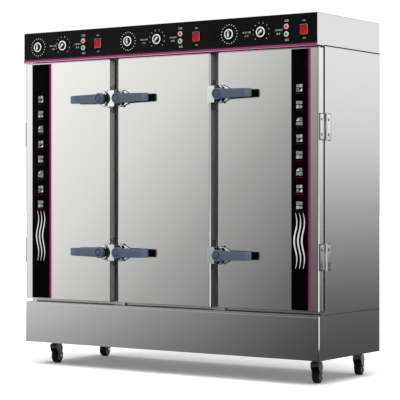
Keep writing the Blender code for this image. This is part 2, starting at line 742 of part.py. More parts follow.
def make_control_panel():
    window_half_x = ROCKER_WIDTH / 2 + ROCKER_SIDE_GAP
    window_half_z = ROCKER_HEIGHT / 2 + ROCKER_END_GAP

    def plate(bm):
        low = (-HEADER_HALF, HEADER_FRONT_Y, TRIM_TOP + CLEARANCE)
        high = (HEADER_HALF, HEADER_FRONT_Y + PANEL_THICKNESS, HEADER_TOP)
        add_box(bm, low, high)

    def bezels(bm):
        for x in control_places(ROCKER_OFFSET):
            half_x = window_half_x + BEZEL_WALL
            half_z = window_half_z + BEZEL_WALL
            low = (x - half_x, HEADER_FRONT_Y - BEZEL_PROUD, CONTROL_Z - half_z)
            high = (x + half_x, HEADER_FRONT_Y + BEZEL_BACK, CONTROL_Z + half_z)
            add_box(bm, low, high, BEZEL_WALL / 2, 1)

    def lamps(bm):
        base = -PANEL_THICKNESS / 2
        profile = (
            (0, base),
            (LAMP_RADIUS, base),
            (LAMP_RADIUS, LAMP_RIM),
            (LAMP_RADIUS - LAMP_RIM, LAMP_RIM),
            (0, LAMP_DOME),
        )
        turned = [(radius, -height) for radius, height in profile]
        for x in control_places(LAMP_OFFSET):
            for way in (-1, 1):
                add_turned(bm, turned, 1, (x, HEADER_FRONT_Y, CONTROL_Z + way * LAMP_RISE), SMALL_SIDES)

    def windows(bm):
        for x in control_places(ROCKER_OFFSET):
            low = (x - window_half_x, HEADER_FRONT_Y - BEZEL_PROUD - OVERRUN, CONTROL_Z - window_half_z)
            high = (x + window_half_x, HEADER_FRONT_Y + BEZEL_BACK + OVERRUN, CONTROL_Z + window_half_z)
            add_box(bm, low, high)

    def pin_sockets(bm):
        reach = ROCKER_WIDTH / 2 + ROCKER_PIN_LENGTH + ROCKER_SIDE_GAP
        for x in control_places(ROCKER_OFFSET):
            centre = (x, HEADER_FRONT_Y + ROCKER_PIVOT_DEPTH, CONTROL_Z)
            add_cylinder(bm, ROCKER_PIN_RADIUS + SHAFT_GAP, 0, centre, x - reach, x + reach, SMALL_SIDES)

    def shaft_holes(bm):
        for places in KNOB_XS.values():
            for x in places:
                start = HEADER_FRONT_Y - OVERRUN
                end = HEADER_FRONT_Y + PANEL_THICKNESS + OVERRUN
                add_cylinder(bm, SHAFT_RADIUS + SHAFT_GAP, 1, (x, 0, CONTROL_Z), start, end, SMALL_SIDES)

    panel = make_piece("control_panel", plate, "black panel")
    join(panel, bezels)
    join(panel, lamps)
    cut(panel, windows)
    cut(panel, pin_sockets)
    cut(panel, shaft_holes)


def make_knob(name, x):
    def turned(bm):
        base = CLEARANCE
        top = KNOB_DEPTH
        profile = (
            (0, top),
            (KNOB_BODY_RADIUS - KNOB_CHAMFER, top),
            (KNOB_BODY_RADIUS, top - KNOB_CHAMFER),
            (KNOB_BODY_RADIUS, KNOB_SKIRT + KNOB_CHAMFER),
            (KNOB_RADIUS - KNOB_CHAMFER, KNOB_SKIRT),
            (KNOB_RADIUS, base),
            (SHAFT_RADIUS, base),
            (SHAFT_RADIUS, -SHAFT_LENGTH),
            (0, -SHAFT_LENGTH),
        )
        forward = [(radius, -height) for radius, height in profile]
        add_turned(bm, forward, 1, (x, HEADER_FRONT_Y, CONTROL_Z), KNOB_SIDES)

    def grip(bm):
        half_z = KNOB_BODY_RADIUS - KNOB_CHAMFER
        low = (x - KNOB_GRIP_WIDTH / 2, HEADER_FRONT_Y - KNOB_DEPTH - KNOB_GRIP_DEPTH, CONTROL_Z - half_z)
        high = (x + KNOB_GRIP_WIDTH / 2, HEADER_FRONT_Y - KNOB_DEPTH + KNOB_CHAMFER, CONTROL_Z + half_z)
        add_box(bm, low, high, KNOB_CHAMFER, None, 1)

    knob = make_piece(name, turned, "knob plastic", (x, HEADER_FRONT_Y, CONTROL_Z), smooth=True)
    join(knob, grip)


def make_rocker(name, x):
    """Two-way rocker, drawn with its lower end pressed in."""
    pivot = Vector((x, HEADER_FRONT_Y + ROCKER_PIVOT_DEPTH, CONTROL_Z))
    lean = Matrix.Rotation(math.radians(ROCKER_TILT_DEG), 4, "X")

    def leaning(bm):
        half = ROCKER_HEIGHT / 2
        back_half = ROCKER_BACK_HEIGHT / 2
        front = -ROCKER_FRONT - ROCKER_PIVOT_DEPTH
        back = ROCKER_BACK - ROCKER_PIVOT_DEPTH
        outline = (
            (front, -half), (front + ROCKER_DIP, 0), (front, half),
            (0, half), (back, back_half), (back, -back_half), (0, -half),
        )
        add_prism(bm, outline, 0, -ROCKER_WIDTH / 2, ROCKER_WIDTH / 2)
        bmesh.ops.transform(bm, matrix=Matrix.Translation(pivot) @ lean, verts=bm.verts)

    def pins(bm):
        reach = ROCKER_WIDTH / 2 + ROCKER_PIN_LENGTH
        add_cylinder(bm, ROCKER_PIN_RADIUS, 0, pivot, x - reach, x + reach, SMALL_SIDES)

    rocker = make_piece(name, leaning, "red rocker", pivot)
    join(rocker, pins)


def make_controls():
    for kind, places in KNOB_XS.items():
        for name, x in zip(DOOR_NAMES, places):
            make_knob("knob_" + kind + "_" + name, x)
    for name, x in zip(DOOR_NAMES, control_places(ROCKER_OFFSET)):
        make_rocker("rocker_" + name, x)


# Doors with their hinges, strips, latches and keepers

def knuckle_spans(z):
    """Heights of the lower, middle and upper thirds of a hinge centred at z."""
    half = HINGE_HEIGHT / 2
    third = HINGE_HEIGHT / 6
    gap = KNUCKLE_GAP / 2
    return (z - half, z - third - gap), (z - third + gap, z + third - gap), (z + third + gap, z + half)


def leaf_box(bm, side, start_y, end_y, low_z, high_z):
    xs = sorted((side * (HALF_BODY + CLEARANCE), side * (HALF_BODY + CLEARANCE + HINGE_LEAF)))
    add_box(bm, (xs[0], start_y, low_z), (xs[1], end_y, high_z))


def make_hinge_body_leaf(name, side, z):
    axis = (side * HINGE_X, HINGE_Y, 0)
    lower, middle, upper = knuckle_spans(z)

    def leaf(bm):
        start_y = HINGE_Y + KNUCKLE_RADIUS + KNUCKLE_GAP
        leaf_box(bm, side, start_y, HINGE_Y + HINGE_LEAF_REACH, z - HINGE_HEIGHT / 2, z + HINGE_HEIGHT / 2)

    def tabs(bm):
        for low, high in (lower, upper):
            leaf_box(bm, side, HINGE_Y, HINGE_Y + KNUCKLE_RADIUS + 2 * KNUCKLE_GAP, low, high)

    def knuckles(bm):
        for low, high in (lower, upper):
            add_cylinder(bm, KNUCKLE_RADIUS, 2, axis, low, high, SMALL_SIDES)

    def pin(bm):
        low, high = z - HINGE_HEIGHT / 2 + HINGE_LEAF, z + HINGE_HEIGHT / 2 - HINGE_LEAF
        add_cylinder(bm, HINGE_PIN_RADIUS, 2, axis, low, high, SMALL_SIDES)

    piece = make_piece(name, leaf, "polished steel")
    join(piece, tabs)
    join(piece, knuckles)
    join(piece, pin)


def add_door_hinges(door, side):
    """Door leaves and middle knuckles of both side hinges, joined to the door's edge."""
    axis = (side * HINGE_X, HINGE_Y, 0)

    def leaves(bm):
        inner = side * (HALF_BODY - DOOR_SIDE_MARGIN - SHEET / 2)
        for z in HINGE_HEIGHTS:
            xs = sorted((inner, side * (HALF_BODY + CLEARANCE + HINGE_LEAF)))
            low = (xs[0], FRONT_Y + HINGE_DOOR_MARGIN, z - HINGE_HEIGHT / 2)
            high = (xs[1], HINGE_Y - KNUCKLE_RADIUS - KNUCKLE_GAP, z + HINGE_HEIGHT / 2)
            rear = FRONT_Y + DOOR_THICKNESS - DOOR_CORNER
            add_box(bm, low, (high[0], rear, high[2]))

    def flaps(bm):
        for z in HINGE_HEIGHTS:
            rear = HINGE_Y - KNUCKLE_RADIUS - KNUCKLE_GAP
            start = FRONT_Y + DOOR_THICKNESS / 2
            leaf_box(bm, side, start, rear, z - HINGE_HEIGHT / 2, z + HINGE_HEIGHT / 2)

    def tabs(bm):
        for z in HINGE_HEIGHTS:
            low, high = knuckle_spans(z)[1]
            leaf_box(bm, side, HINGE_Y - KNUCKLE_RADIUS - 2 * KNUCKLE_GAP, HINGE_Y, low, high)

    def knuckles(bm):
        for z in HINGE_HEIGHTS:
            low, high = knuckle_spans(z)[1]
            add_cylinder(bm, KNUCKLE_RADIUS, 2, axis, low, high, SMALL_SIDES)

    def bores(bm):
        for z in HINGE_HEIGHTS:
            reach = HINGE_HEIGHT / 2
            add_cylinder(bm, HINGE_PIN_RADIUS + HINGE_BORE_GAP, 2, axis, z - reach, z + reach, SMALL_SIDES)

    for draw in (leaves, flaps, tabs, knuckles):
        join(door, draw)
    cut(door, bores)


def make_door(name, centre, axis_point, parent, side):
    def pan(bm):
        low = (centre - DOOR_WIDTH / 2, FRONT_Y, DOOR_BOTTOM)
        high = (centre + DOOR_WIDTH / 2, FRONT_Y + DOOR_THICKNESS, DOOR_TOP)
        add_box(bm, low, high, DOOR_CORNER)

    def plug(bm):
        inset = DOOR_PLUG_INSET
        low = (centre - DOOR_WIDTH / 2 + inset, FRONT_Y + DOOR_THICKNESS / 2, DOOR_BOTTOM + inset)
        rear = FRONT_Y + DOOR_THICKNESS + DOOR_PLUG_DEPTH
        high = (centre + DOOR_WIDTH / 2 - inset, rear, DOOR_TOP - inset)
        add_box(bm, low, high, DOOR_CORNER, 1)

    door = make_piece("door_shell_" + name, pan, "polished steel", axis_point, parent)
    join(door, plug)
    if side:
        add_door_hinges(door, side)
    else:
        def bores(bm):
            reach = PIVOT_DEPTH + SHEET
            for level, way in ((DOOR_TOP, 1), (DOOR_BOTTOM, -1)):
                ends = sorted((level - way * reach, level + way * OVERRUN))
                radius = PIVOT_RADIUS + HINGE_BORE_GAP
                add_cylinder(bm, radius, 2, axis_point, ends[0], ends[1], SMALL_SIDES)
        cut(door, bores)

    make_gasket(name, centre, axis_point, parent)


def make_gasket(name, centre, axis_point, parent):
    def ring(bm):
        outer = GASKET_INSET
        low = (centre - DOOR_WIDTH / 2 + outer, FRONT_Y + DOOR_THICKNESS + CLEARANCE, DOOR_BOTTOM + outer)
        high = (centre + DOOR_WIDTH / 2 - outer, BODY_FRONT_Y - CLEARANCE, DOOR_TOP - outer)
        add_box(bm, low, high, GASKET_CORNER, 1)

    def hole(bm):
        inner = GASKET_INSET + GASKET_WIDTH
        low = (centre - DOOR_WIDTH / 2 + inner, FRONT_Y, DOOR_BOTTOM + inner)
        high = (centre + DOOR_WIDTH / 2 - inner, BODY_FRONT_Y + OVERRUN, DOOR_TOP - inner)
        add_box(bm, low, high, GASKET_CORNER, 1)

    gasket = make_piece("door_gasket_" + name, ring, "gasket rubber", axis_point, parent)
    cut(gasket, hole)


def make_strip(name, left_x, width, axis_point, parent):
    """Flat strip with a raised round bead along its right edge."""
    def profile(bm):
        back = FRONT_Y - CLEARANCE
        face = back - STRIP_THICKNESS
        right = left_x + width
        outline = [(left_x, back), (left_x, face), (right, face)]
        steps = 4
        for step in range(1, steps):
            angle = math.pi * step / steps
            x = right + STRIP_EDGE_WIDTH * (1 - math.cos(angle)) / 2
            outline.append((x, face - (STRIP_EDGE_THICKNESS - STRIP_THICKNESS) * math.sin(angle)))
        outline.append((right + STRIP_EDGE_WIDTH, face))
        outline.append((right + STRIP_EDGE_WIDTH, back))
        add_prism(bm, outline, 2, DOOR_BOTTOM + STRIP_END_MARGIN, DOOR_TOP - STRIP_END_MARGIN)

    make_piece("door_strip_" + name, profile, "black panel", axis_point, parent)


def ellipse_points(half_x, half_z, start, end, steps):
    points = []
    for step in range(steps + 1):
        angle = start + (end - start) * step / steps
        points.append((half_x * math.cos(angle), half_z * math.sin(angle)))
    return points


def lens_outline(half_x, half_z, steps):
    """Pointed oval made of two equal arcs."""
    radius = (half_x * half_x + half_z * half_z) / (2 * half_x)
    sweep = math.asin(half_z / radius)
    points = []
    for side in (1, -1):
        for step in range(steps):
            angle = side * (-sweep + 2 * sweep * step / steps)
            points.append((side * (half_x - radius + radius * math.cos(angle)), radius * math.sin(angle)))
    return points


def upright(points, centre_x, centre_z, side):
    """Outline points turned into the (z, x) order that a prism along Y takes."""
    return [(centre_z + z, centre_x + side * x) for x, z in points]


def make_latch_base(name, centre, side, setback, axis_point, parent):
    x, z = centre
    edge_side = setback - BASE_EDGE_MARGIN
    housing_shift = setback + HOUSING_OVERHANG - HOUSING_HALF_WIDTH

    def plate(bm):
        half = BASE_HEIGHT / 2
        points = ellipse_points(BASE_LEVER_SIDE, half, -math.pi / 2, math.pi / 2, 12)
        points += [(-edge_side, half), (-edge_side, -half)]
        start = FRONT_Y - CLEARANCE
        add_prism(bm, upright(points, x, z, side), 1, start, FRONT_Y - BASE_THICKNESS, BASE_BEVEL, True)

    def housing(bm):
        points = lens_outline(HOUSING_HALF_WIDTH, HOUSING_HEIGHT / 2, 8)
        start = FRONT_Y - BASE_THICKNESS / 2
        outline = upright(points, x - side * housing_shift, z, side)
        add_prism(bm, outline, 1, start, FRONT_Y - HOUSING_TOP, BASE_BEVEL, True)

    def pin(bm):
        start = FRONT_Y - HOUSING_TOP - LATCH_PIN_LENGTH
        add_cylinder(bm, LATCH_PIN_RADIUS, 1, (x, 0, z), start, FRONT_Y - BASE_THICKNESS, SMALL_SIDES)

    base = make_piece("latch_base_" + name, plate, "chrome", axis_point, parent)
    join(base, housing)
    join(base, pin)


def make_lever(name, centre, side, setback, parent):
    x, z = centre
    pivot = (x, FRONT_Y, z)

    def boss(bm):
        back = HOUSING_TOP + CLEARANCE
        front = LEVER_REACH
        bore = LATCH_PIN_RADIUS + HINGE_BORE_GAP
        bore_end = HOUSING_TOP + LATCH_PIN_LENGTH + HINGE_BORE_GAP
        groove = CAP_RADIUS + CAP_GROOVE_WIDTH
        profile = (
            (0, front),
            (CAP_RADIUS, front - BOSS_CHAMFER / 2),
            (CAP_RADIUS, front - CAP_GROOVE_DEPTH),
            (groove, front - CAP_GROOVE_DEPTH),
            (groove, front),
            (BOSS_RADIUS - BOSS_CHAMFER, front),
            (BOSS_RADIUS, front - BOSS_CHAMFER),
            (BOSS_RADIUS, back),
            (bore, back),
            (bore, bore_end),
            (0, bore_end),
        )
        forward = [(radius, -height) for radius, height in profile]
        add_turned(bm, forward, 1, pivot, ROUND_SIDES)

    def bar(bm):
        """Tapered bar whose front slopes back towards the door at its tip."""
        root = LEVER_ROOT_HEIGHT / 2
        tip = LEVER_TIP_HEIGHT / 2
        start = BOSS_RADIUS - BOSS_CHAMFER - CAP_GROOVE_WIDTH
        corner = LEVER_TIP_CORNER
        steps = 3
        points = [(start, -root)]
        for way in (-1, 1):
            for step in range(steps + 1):
                angle = math.pi / 2 * (step if way < 0 else steps - step) / steps
                across = tip - corner + corner * math.cos(angle)
                points.append((LEVER_LENGTH - corner + corner * math.sin(angle), way * across))
        points.append((start, root))
        near = FRONT_Y - LEVER_REACH + LEVER_THICKNESS
        far = FRONT_Y - LEVER_REACH + LEVER_STEP
        add_prism(bm, upright(points, x, z, side), 1, near, far, LEVER_EDGE, True)
        drop = LEVER_REACH - LEVER_STEP - LEVER_TIP_REACH
        for vert in bm.verts:
            vert.co.y += drop * (abs(vert.co.x - x) - start) / (LEVER_LENGTH - start)

    def ear(bm):
        reach = setback + EAR_OVERHANG
        half = EAR_HEIGHT / 2
        points = [(0, -half), (0, half), (-reach, half / 2), (-reach, -half / 2)]
        start = FRONT_Y - HOUSING_TOP - LATCH_PIN_LENGTH - HINGE_BORE_GAP - EAR_THICKNESS
        add_prism(bm, upright(points, x, z, side), 1, start, start - EAR_THICKNESS / 2)

    lever = make_piece("lever_" + name, boss, "lever plastic", pivot, parent, smooth=True)
    join(lever, bar)
    join(lever, ear)


def make_latches(name, edge_x, side, setback, axis_point, parent):
    """Upper and lower latch of a door; side is the way that the levers point."""
    x = edge_x + side * setback
    for level, z in zip(("lower", "upper"), LATCH_HEIGHTS):
        full_name = name + "_" + level
        make_latch_base(full_name, (x, z), side, setback, axis_point, parent)
        turn = make_pivot("turn_" + full_name, (x, FRONT_Y, z), parent)
        make_lever(full_name, (x, z), side, setback, turn)


def make_keeper(name, x, z, mouths):
    """Keeper block on the frame; a mouth faces each latch that it serves."""
    face_y = MULLION_Y - CLEARANCE

    def block(bm):
        low = (x - KEEPER_WIDTH / 2, FRONT_Y - KEEPER_REACH, z - KEEPER_HEIGHT / 2)
        high = (x + KEEPER_WIDTH / 2, face_y - KEEPER_STEP, z + KEEPER_HEIGHT / 2)
        add_box(bm, low, high, KEEPER_CORNER, 1, 1)

    def flange(bm):
        half = KEEPER_WIDTH / 2 + KEEPER_STEP
        low = (x - half, face_y - KEEPER_FLANGE, z - KEEPER_FLANGE_HEIGHT / 2)
        high = (x + half, face_y, z + KEEPER_FLANGE_HEIGHT / 2)
        add_box(bm, low, high)

    def mouth(bm):
        for way in mouths:
            outer = x + way * (KEEPER_WIDTH / 2 + OVERRUN)
            ends = sorted((x + way * (KEEPER_WIDTH / 2 - KEEPER_SLOT_DEPTH), outer))
            start = FRONT_Y - KEEPER_REACH + KEEPER_FLANGE
            low = (ends[0], start, z - KEEPER_HEIGHT / 2 - OVERRUN)
            high = (ends[1], start + KEEPER_SLOT, z + KEEPER_HEIGHT / 2 + OVERRUN)
            add_box(bm, low, high)

    keeper = make_piece("keeper_" + name, block, "chrome")
    join(keeper, flange)
    cut(keeper, mouth)


def make_doors():
    left, middle, right = DOOR_CENTRES
    half = DOOR_WIDTH / 2
    axes = {
        "left": Vector((-HINGE_X, HINGE_Y, DOOR_BOTTOM)),
        "middle": Vector((middle + half - PIVOT_INSET, FRONT_Y + PIVOT_INSET, DOOR_BOTTOM)),
        "right": Vector((HINGE_X, HINGE_Y, DOOR_BOTTOM)),
    }
    swings = {name: make_pivot("swing_" + name, at) for name, at in axes.items()}
    sides = {"left": -1, "middle": 0, "right": 1}
    for name, centre in zip(DOOR_NAMES, DOOR_CENTRES):
        make_door(name, centre, axes[name], swings[name], sides[name])

    strip_left = left - half + STRIP_OUTER_MARGIN
    strip_right = right + half - STRIP_OUTER_MARGIN - STRIP_WIDTH_RIGHT - STRIP_EDGE_WIDTH
    make_strip("left", strip_left, STRIP_WIDTH_LEFT, axes["left"], swings["left"])
    make_strip("right", strip_right, STRIP_WIDTH_RIGHT, axes["right"], swings["right"])

    make_latches("left", left + half, -1, LATCH_SETBACK_LEFT, axes["left"], swings["left"])
    make_latches("middle", middle - half, 1, LATCH_SETBACK, axes["middle"], swings["middle"])
    make_latches("right", right - half, 1, LATCH_SETBACK, axes["right"], swings["right"])

    for level, z in zip(("lower", "upper"), LATCH_HEIGHTS):
        make_keeper("left_" + level, GAP_CENTRES[0], z, (-1, 1))
        make_keeper("right_" + level, GAP_CENTRES[1], z, (1,))
    for level, z in zip(("lower", "upper"), HINGE_HEIGHTS):
        make_hinge_body_leaf("hinge_leaf_left_" + level, -1, z)
        make_hinge_body_leaf("hinge_leaf_right_" + level, 1, z)
    make_front_frame(axes["middle"])


# Casters, turned a little to one side at rest

def swung(draw, x, y):
    """The same form turned to the casters' angle at rest, about the swivel at x, y."""
    spin = Matrix.Rotation(math.radians(CASTER_TURN_DEG), 4, "Z")
    at = Matrix.Translation((x, y, 0))

    def drawn(bm):
        draw(bm)
        bmesh.ops.transform(bm, matrix=at @ spin @ at.inverted(), verts=bm.verts)
    return drawn


def make_fork(name, x, y, pedal, parent):
    top = CASTER_HEIGHT - CASTER_PLATE_THICKNESS - CLEARANCE
    bottom = top - SWIVEL_DEPTH
    wheel_top = 2 * WHEEL_RADIUS
    half = WHEEL_WIDTH / 2 + WHEEL_GAP

    def cheeks(bm):
        wheel_y = y + WHEEL_TRAIL
        outline = [
            (y - SWIVEL_RADIUS, bottom + FORK_SHEET),
            (y - SWIVEL_RADIUS, wheel_top),
        ]
        steps = 6
        for step in range(steps + 1):
            angle = math.pi + math.pi * step / steps
            z = WHEEL_RADIUS + FORK_EYE_RADIUS * math.sin(angle)
            outline.append((wheel_y + FORK_EYE_RADIUS * math.cos(angle), z))
        outline.append((wheel_y + SWIVEL_RADIUS, wheel_top))
        outline.append((wheel_y + FORK_EYE_RADIUS, bottom + FORK_SHEET))
        add_prism(bm, outline, 0, x - half - FORK_SHEET, x + half + FORK_SHEET)

    def wheel_slot(bm):
        low = (x - half, y - 2 * SWIVEL_RADIUS, -OVERRUN)
        high = (x + half, y + WHEEL_TRAIL + 2 * WHEEL_RADIUS, wheel_top + FORK_SHEET)
        add_box(bm, low, high)

    def cup(bm):
        profile = (
            (0, top),
            (SWIVEL_RADIUS, top),
            (SWIVEL_RADIUS, top - SWIVEL_DEPTH / 2),
            (SWIVEL_RADIUS - FORK_SHEET, bottom),
            (0, bottom),
        )
        add_turned(bm, profile, 2, (x, y, 0), KNOB_SIDES)

    def axle(bm):
        ends = (x - half - FORK_SHEET, x + half + FORK_SHEET)
        centre = (x, y + WHEEL_TRAIL, WHEEL_RADIUS)
        add_cylinder(bm, AXLE_RADIUS, 0, centre, ends[0] - FORK_SHEET, ends[1] + FORK_SHEET, SMALL_SIDES)

    def brake_pedal(bm):
        root = y - SWIVEL_RADIUS + FORK_SHEET
        tip = root - PEDAL_LENGTH
        outline = (
            (root, bottom), (tip, bottom - PEDAL_DROP), (tip, bottom - PEDAL_DROP + FORK_SHEET),
            (root, bottom + FORK_SHEET),
        )
        add_prism(bm, outline, 0, x - PEDAL_WIDTH / 2, x + PEDAL_WIDTH / 2)

    fork = make_piece("caster_fork_" + name, swung(cheeks, x, y), "caster steel", (x, y, top), parent)
    cut(fork, swung(wheel_slot, x, y))
    join(fork, swung(cup, x, y))
    join(fork, swung(axle, x, y))
    if pedal:
        join(fork, swung(brake_pedal, x, y))


def make_wheel(name, x, y, hub, parent):
    half = WHEEL_WIDTH / 2
    rim = WHEEL_RADIUS - TYRE_DEPTH
    bore = AXLE_RADIUS + SHAFT_GAP
    side = (
        (bore, half),
        (HUB_RADIUS, half),
        (HUB_RADIUS, half - HUB_RECESS),
        (rim, half - HUB_RECESS),
        (rim, half),
        (WHEEL_RADIUS, half - TYRE_SHOULDER),
    )
    profile = list(side) + [(radius, -height) for radius, height in reversed(side)]

    def turned(bm):
        add_turned(bm, profile, 0, (x, y + WHEEL_TRAIL, WHEEL_RADIUS), ROUND_SIDES, closed=True)

    make_piece("caster_wheel_" + name, swung(turned, x, y), "caster tyre", hub, parent, smooth=True)


def make_casters():
    for name, (x, y) in caster_places().items():
        angle = math.radians(CASTER_TURN_DEG)
        hub = (x - WHEEL_TRAIL * math.sin(angle), y + WHEEL_TRAIL * math.cos(angle), WHEEL_RADIUS)
        swivel = make_pivot("swivel_" + name, (x, y, CASTER_HEIGHT))
        make_fork(name, x, y, name.startswith("front"), swivel)
        roll = make_pivot("roll_" + name, hub, swivel)
        make_wheel(name, x, y, hub, roll)


def build():
    clear_scene()
    make_outer_casing()
    make_partitions()
    make_water_tank()
    make_heaters()
    make_tray_racks()
    make_base_skirt()
    make_header()
    make_control_panel()
    make_controls()
    make_doors()
    make_casters()


build()
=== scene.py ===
import json
import math

import bmesh
import bpy
from mathutils import Matrix, Vector


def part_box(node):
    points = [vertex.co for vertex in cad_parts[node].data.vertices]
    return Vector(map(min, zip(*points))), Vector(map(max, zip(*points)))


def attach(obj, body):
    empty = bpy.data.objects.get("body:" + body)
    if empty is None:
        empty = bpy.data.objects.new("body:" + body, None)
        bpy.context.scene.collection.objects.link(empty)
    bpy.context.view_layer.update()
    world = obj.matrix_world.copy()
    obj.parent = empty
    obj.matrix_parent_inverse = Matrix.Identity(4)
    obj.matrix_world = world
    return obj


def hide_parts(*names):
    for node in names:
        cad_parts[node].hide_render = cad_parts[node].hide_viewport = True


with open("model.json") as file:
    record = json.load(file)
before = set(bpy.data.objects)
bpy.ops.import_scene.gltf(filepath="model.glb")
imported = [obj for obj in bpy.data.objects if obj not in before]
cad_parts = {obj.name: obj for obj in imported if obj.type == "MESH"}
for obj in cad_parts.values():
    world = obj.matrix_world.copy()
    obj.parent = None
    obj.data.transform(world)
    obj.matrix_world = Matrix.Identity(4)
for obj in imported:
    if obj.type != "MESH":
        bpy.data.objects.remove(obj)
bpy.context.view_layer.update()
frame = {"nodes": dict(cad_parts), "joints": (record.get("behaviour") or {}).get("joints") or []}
nodes = frame["nodes"]
jointAt = {joint["name"]: Vector(joint["pos_m"]) for joint in frame["joints"]}
print("frame loaded:", len(nodes), "nodes")

mm = 0.001
sides = ("left", "right")
doorNames = ("left", "middle", "right")
levels = ("lower", "upper")
leverSide = {"left": -1, "middle": 1, "right": 1}  # the way each door's levers point
hingeSide = {"left": -1, "middle": 1, "right": 1}  # the side each door swings from
casterNames = ("front_left", "front_right", "rear_left", "rear_right")
# the door's skin lies before its gasket, and the printed panel before the header
doorDepth, panelThick = 44.3 * mm, 4.3 * mm
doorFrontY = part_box("door_gasket_middle")[0].y - doorDepth
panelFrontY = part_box("header_casing")[0].y - panelThick
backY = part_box("header_casing")[1].y
controlZ = jointAt["heat_knob_middle_turn"].z


def inMm(sizes):
    # settings written in millimetres, turned into metres
    if isinstance(sizes, dict):
        return {key: inMm(value) for key, value in sizes.items()}
    if isinstance(sizes, (tuple, list)):
        return tuple(inMm(value) for value in sizes)
    return sizes * mm


def hexColour(code):
    channels = [int(code[start:start + 2], 16) / 255 for start in (1, 3, 5)]
    linear = [c / 12.92 if c <= 0.04045 else ((c + 0.055) / 1.055) ** 2.4 for c in channels]
    return (*linear, 1.0)


def addNode(tree, kind, settings=None, inputs=None):
    node = tree.nodes.new("ShaderNode" + kind)
    for key, value in (settings or {}).items():
        if key == "stops":
            while len(node.color_ramp.elements) < len(value):
                node.color_ramp.elements.new(0.5)
            for element, (place, colour) in zip(node.color_ramp.elements, value):
                element.position = place
                element.color = colour
        else:
            setattr(node, key, value)
    for key, value in (inputs or {}).items():
        if isinstance(value, bpy.types.NodeSocket):
            tree.links.new(value, node.inputs[key])
        else:
            node.inputs[key].default_value = value
    return node


def newFinish(name, values):
    finish = bpy.data.materials.new(name)
    finish.use_nodes = True
    tree = finish.node_tree
    shader = tree.nodes["Principled BSDF"]
    for socket, value in values.items():
        shader.inputs[socket].default_value = value
    place = addNode(tree, "TexCoord").outputs["Object"]
    return finish, tree, shader, place


def addNoise(tree, place, sizeMm, detail):
    inputs = {"Vector": place, "Scale": 1000 / sizeMm, "Detail": detail}
    return addNode(tree, "TexNoise", inputs=inputs).outputs[0]


def linkRoughness(tree, shader, noise, roughness):
    spread = addNode(tree, "MapRange", inputs={
        "Value": noise, "From Min": 0.3, "From Max": 0.7, "To Min": roughness[0], "To Max": roughness[1]})
    tree.links.new(spread.outputs[0], shader.inputs["Roughness"])


def linkBump(tree, shader, noise, depthMm, strength):
    bump = addNode(tree, "Bump", inputs={"Height": noise, "Distance": depthMm * mm, "Strength": strength})
    tree.links.new(bump.outputs[0], shader.inputs["Normal"])


def linkTint(tree, shader, noise, base, other):
    stops = ((0.35, hexColour(base)), (0.65, hexColour(other)))
    tint = addNode(tree, "ValToRGB", {"stops": stops}, {"Fac": noise})
    tree.links.new(tint.outputs[0], shader.inputs["Base Color"])


# Polished stainless sheet, rolled and buffed: a near mirror with long soft waves and faint wiping marks
polished = {"colour": "#CFCFCE", "roughness": (0.075, 0.115), "waveMm": 420, "waveDepthMm": 0.10,
            "smudgeMm": 90}
polishedStainless, tree, shader, place = newFinish(
    "polishedStainless", {"Base Color": hexColour(polished["colour"]), "Metallic": 1.0})
linkBump(tree, shader, addNoise(tree, place, polished["waveMm"], 1.0), polished["waveDepthMm"], 1.0)
linkRoughness(tree, shader, addNoise(tree, place, polished["smudgeMm"], 3.0), polished["roughness"])

# Brushed stainless sheet, belt ground along its length: soft reflections drawn out across the grain.
# The real grain is 0.1 mm, too fine to show, so it is drawn at 2.5 mm.
brushed = {"colour": "#C4C4C4", "satinColour": "#C9C9C8", "roughness": (0.22, 0.26),
           "satinRoughness": (0.34, 0.44), "grainMm": 2.5, "strokeMm": 320, "depthMm": 0.002}


def brushedSteel(name, colour, roughness, scale):
    finish, tree, shader, place = newFinish(name, {"Base Color": hexColour(colour), "Metallic": 1.0})
    stretched = addNode(tree, "Mapping", inputs={"Vector": place, "Scale": scale})
    grain = addNoise(tree, stretched.outputs[0], 1000, 3.0)
    linkRoughness(tree, shader, grain, roughness)
    linkBump(tree, shader, grain, brushed["depthMm"], 0.6)
    return finish


alongGrain = 1000 / brushed["strokeMm"]
acrossGrain = 1000 / brushed["grainMm"]
levelGrain = (alongGrain, alongGrain, acrossGrain)
uprightGrain = (acrossGrain, acrossGrain, alongGrain)
brushedStainless = brushedSteel("brushedStainless", brushed["colour"], brushed["roughness"], levelGrain)
uprightStainless = brushedSteel("uprightStainless", brushed["colour"], brushed["roughness"], uprightGrain)
# The frame's posts, blasted before they were brushed: duller and softer
satinStainless = brushedSteel(
    "satinStainless", brushed["satinColour"], brushed["satinRoughness"], uprightGrain)

# Bright chrome on zinc die castings: a clean mirror, barely softened by the casting under it
chromeLook = {"colour": "#DCDEE0", "roughness": 0.06, "castMm": 14, "castDepthMm": 0.02}
brightChrome, tree, shader, place = newFinish("brightChrome", {
    "Base Color": hexColour(chromeLook["colour"]), "Metallic": 1.0, "Roughness": chromeLook["roughness"]})
linkBump(tree, shader, addNoise(tree, place, chromeLook["castMm"], 1.0), chromeLook["castDepthMm"], 0.5)

# Zinc plated pressed steel of bolts and screws: cloudy grey metal
zincLook = {"dark": "#8B8E93", "colour": "#A9ACB0", "roughness": 0.34, "cloudMm": 12}
zincSteel, tree, shader, place = newFinish("zincSteel", {"Metallic": 1.0, "Roughness": zincLook["roughness"]})
linkTint(tree, shader, addNoise(tree, place, zincLook["cloudMm"], 4.0), zincLook["dark"], zincLook["colour"])


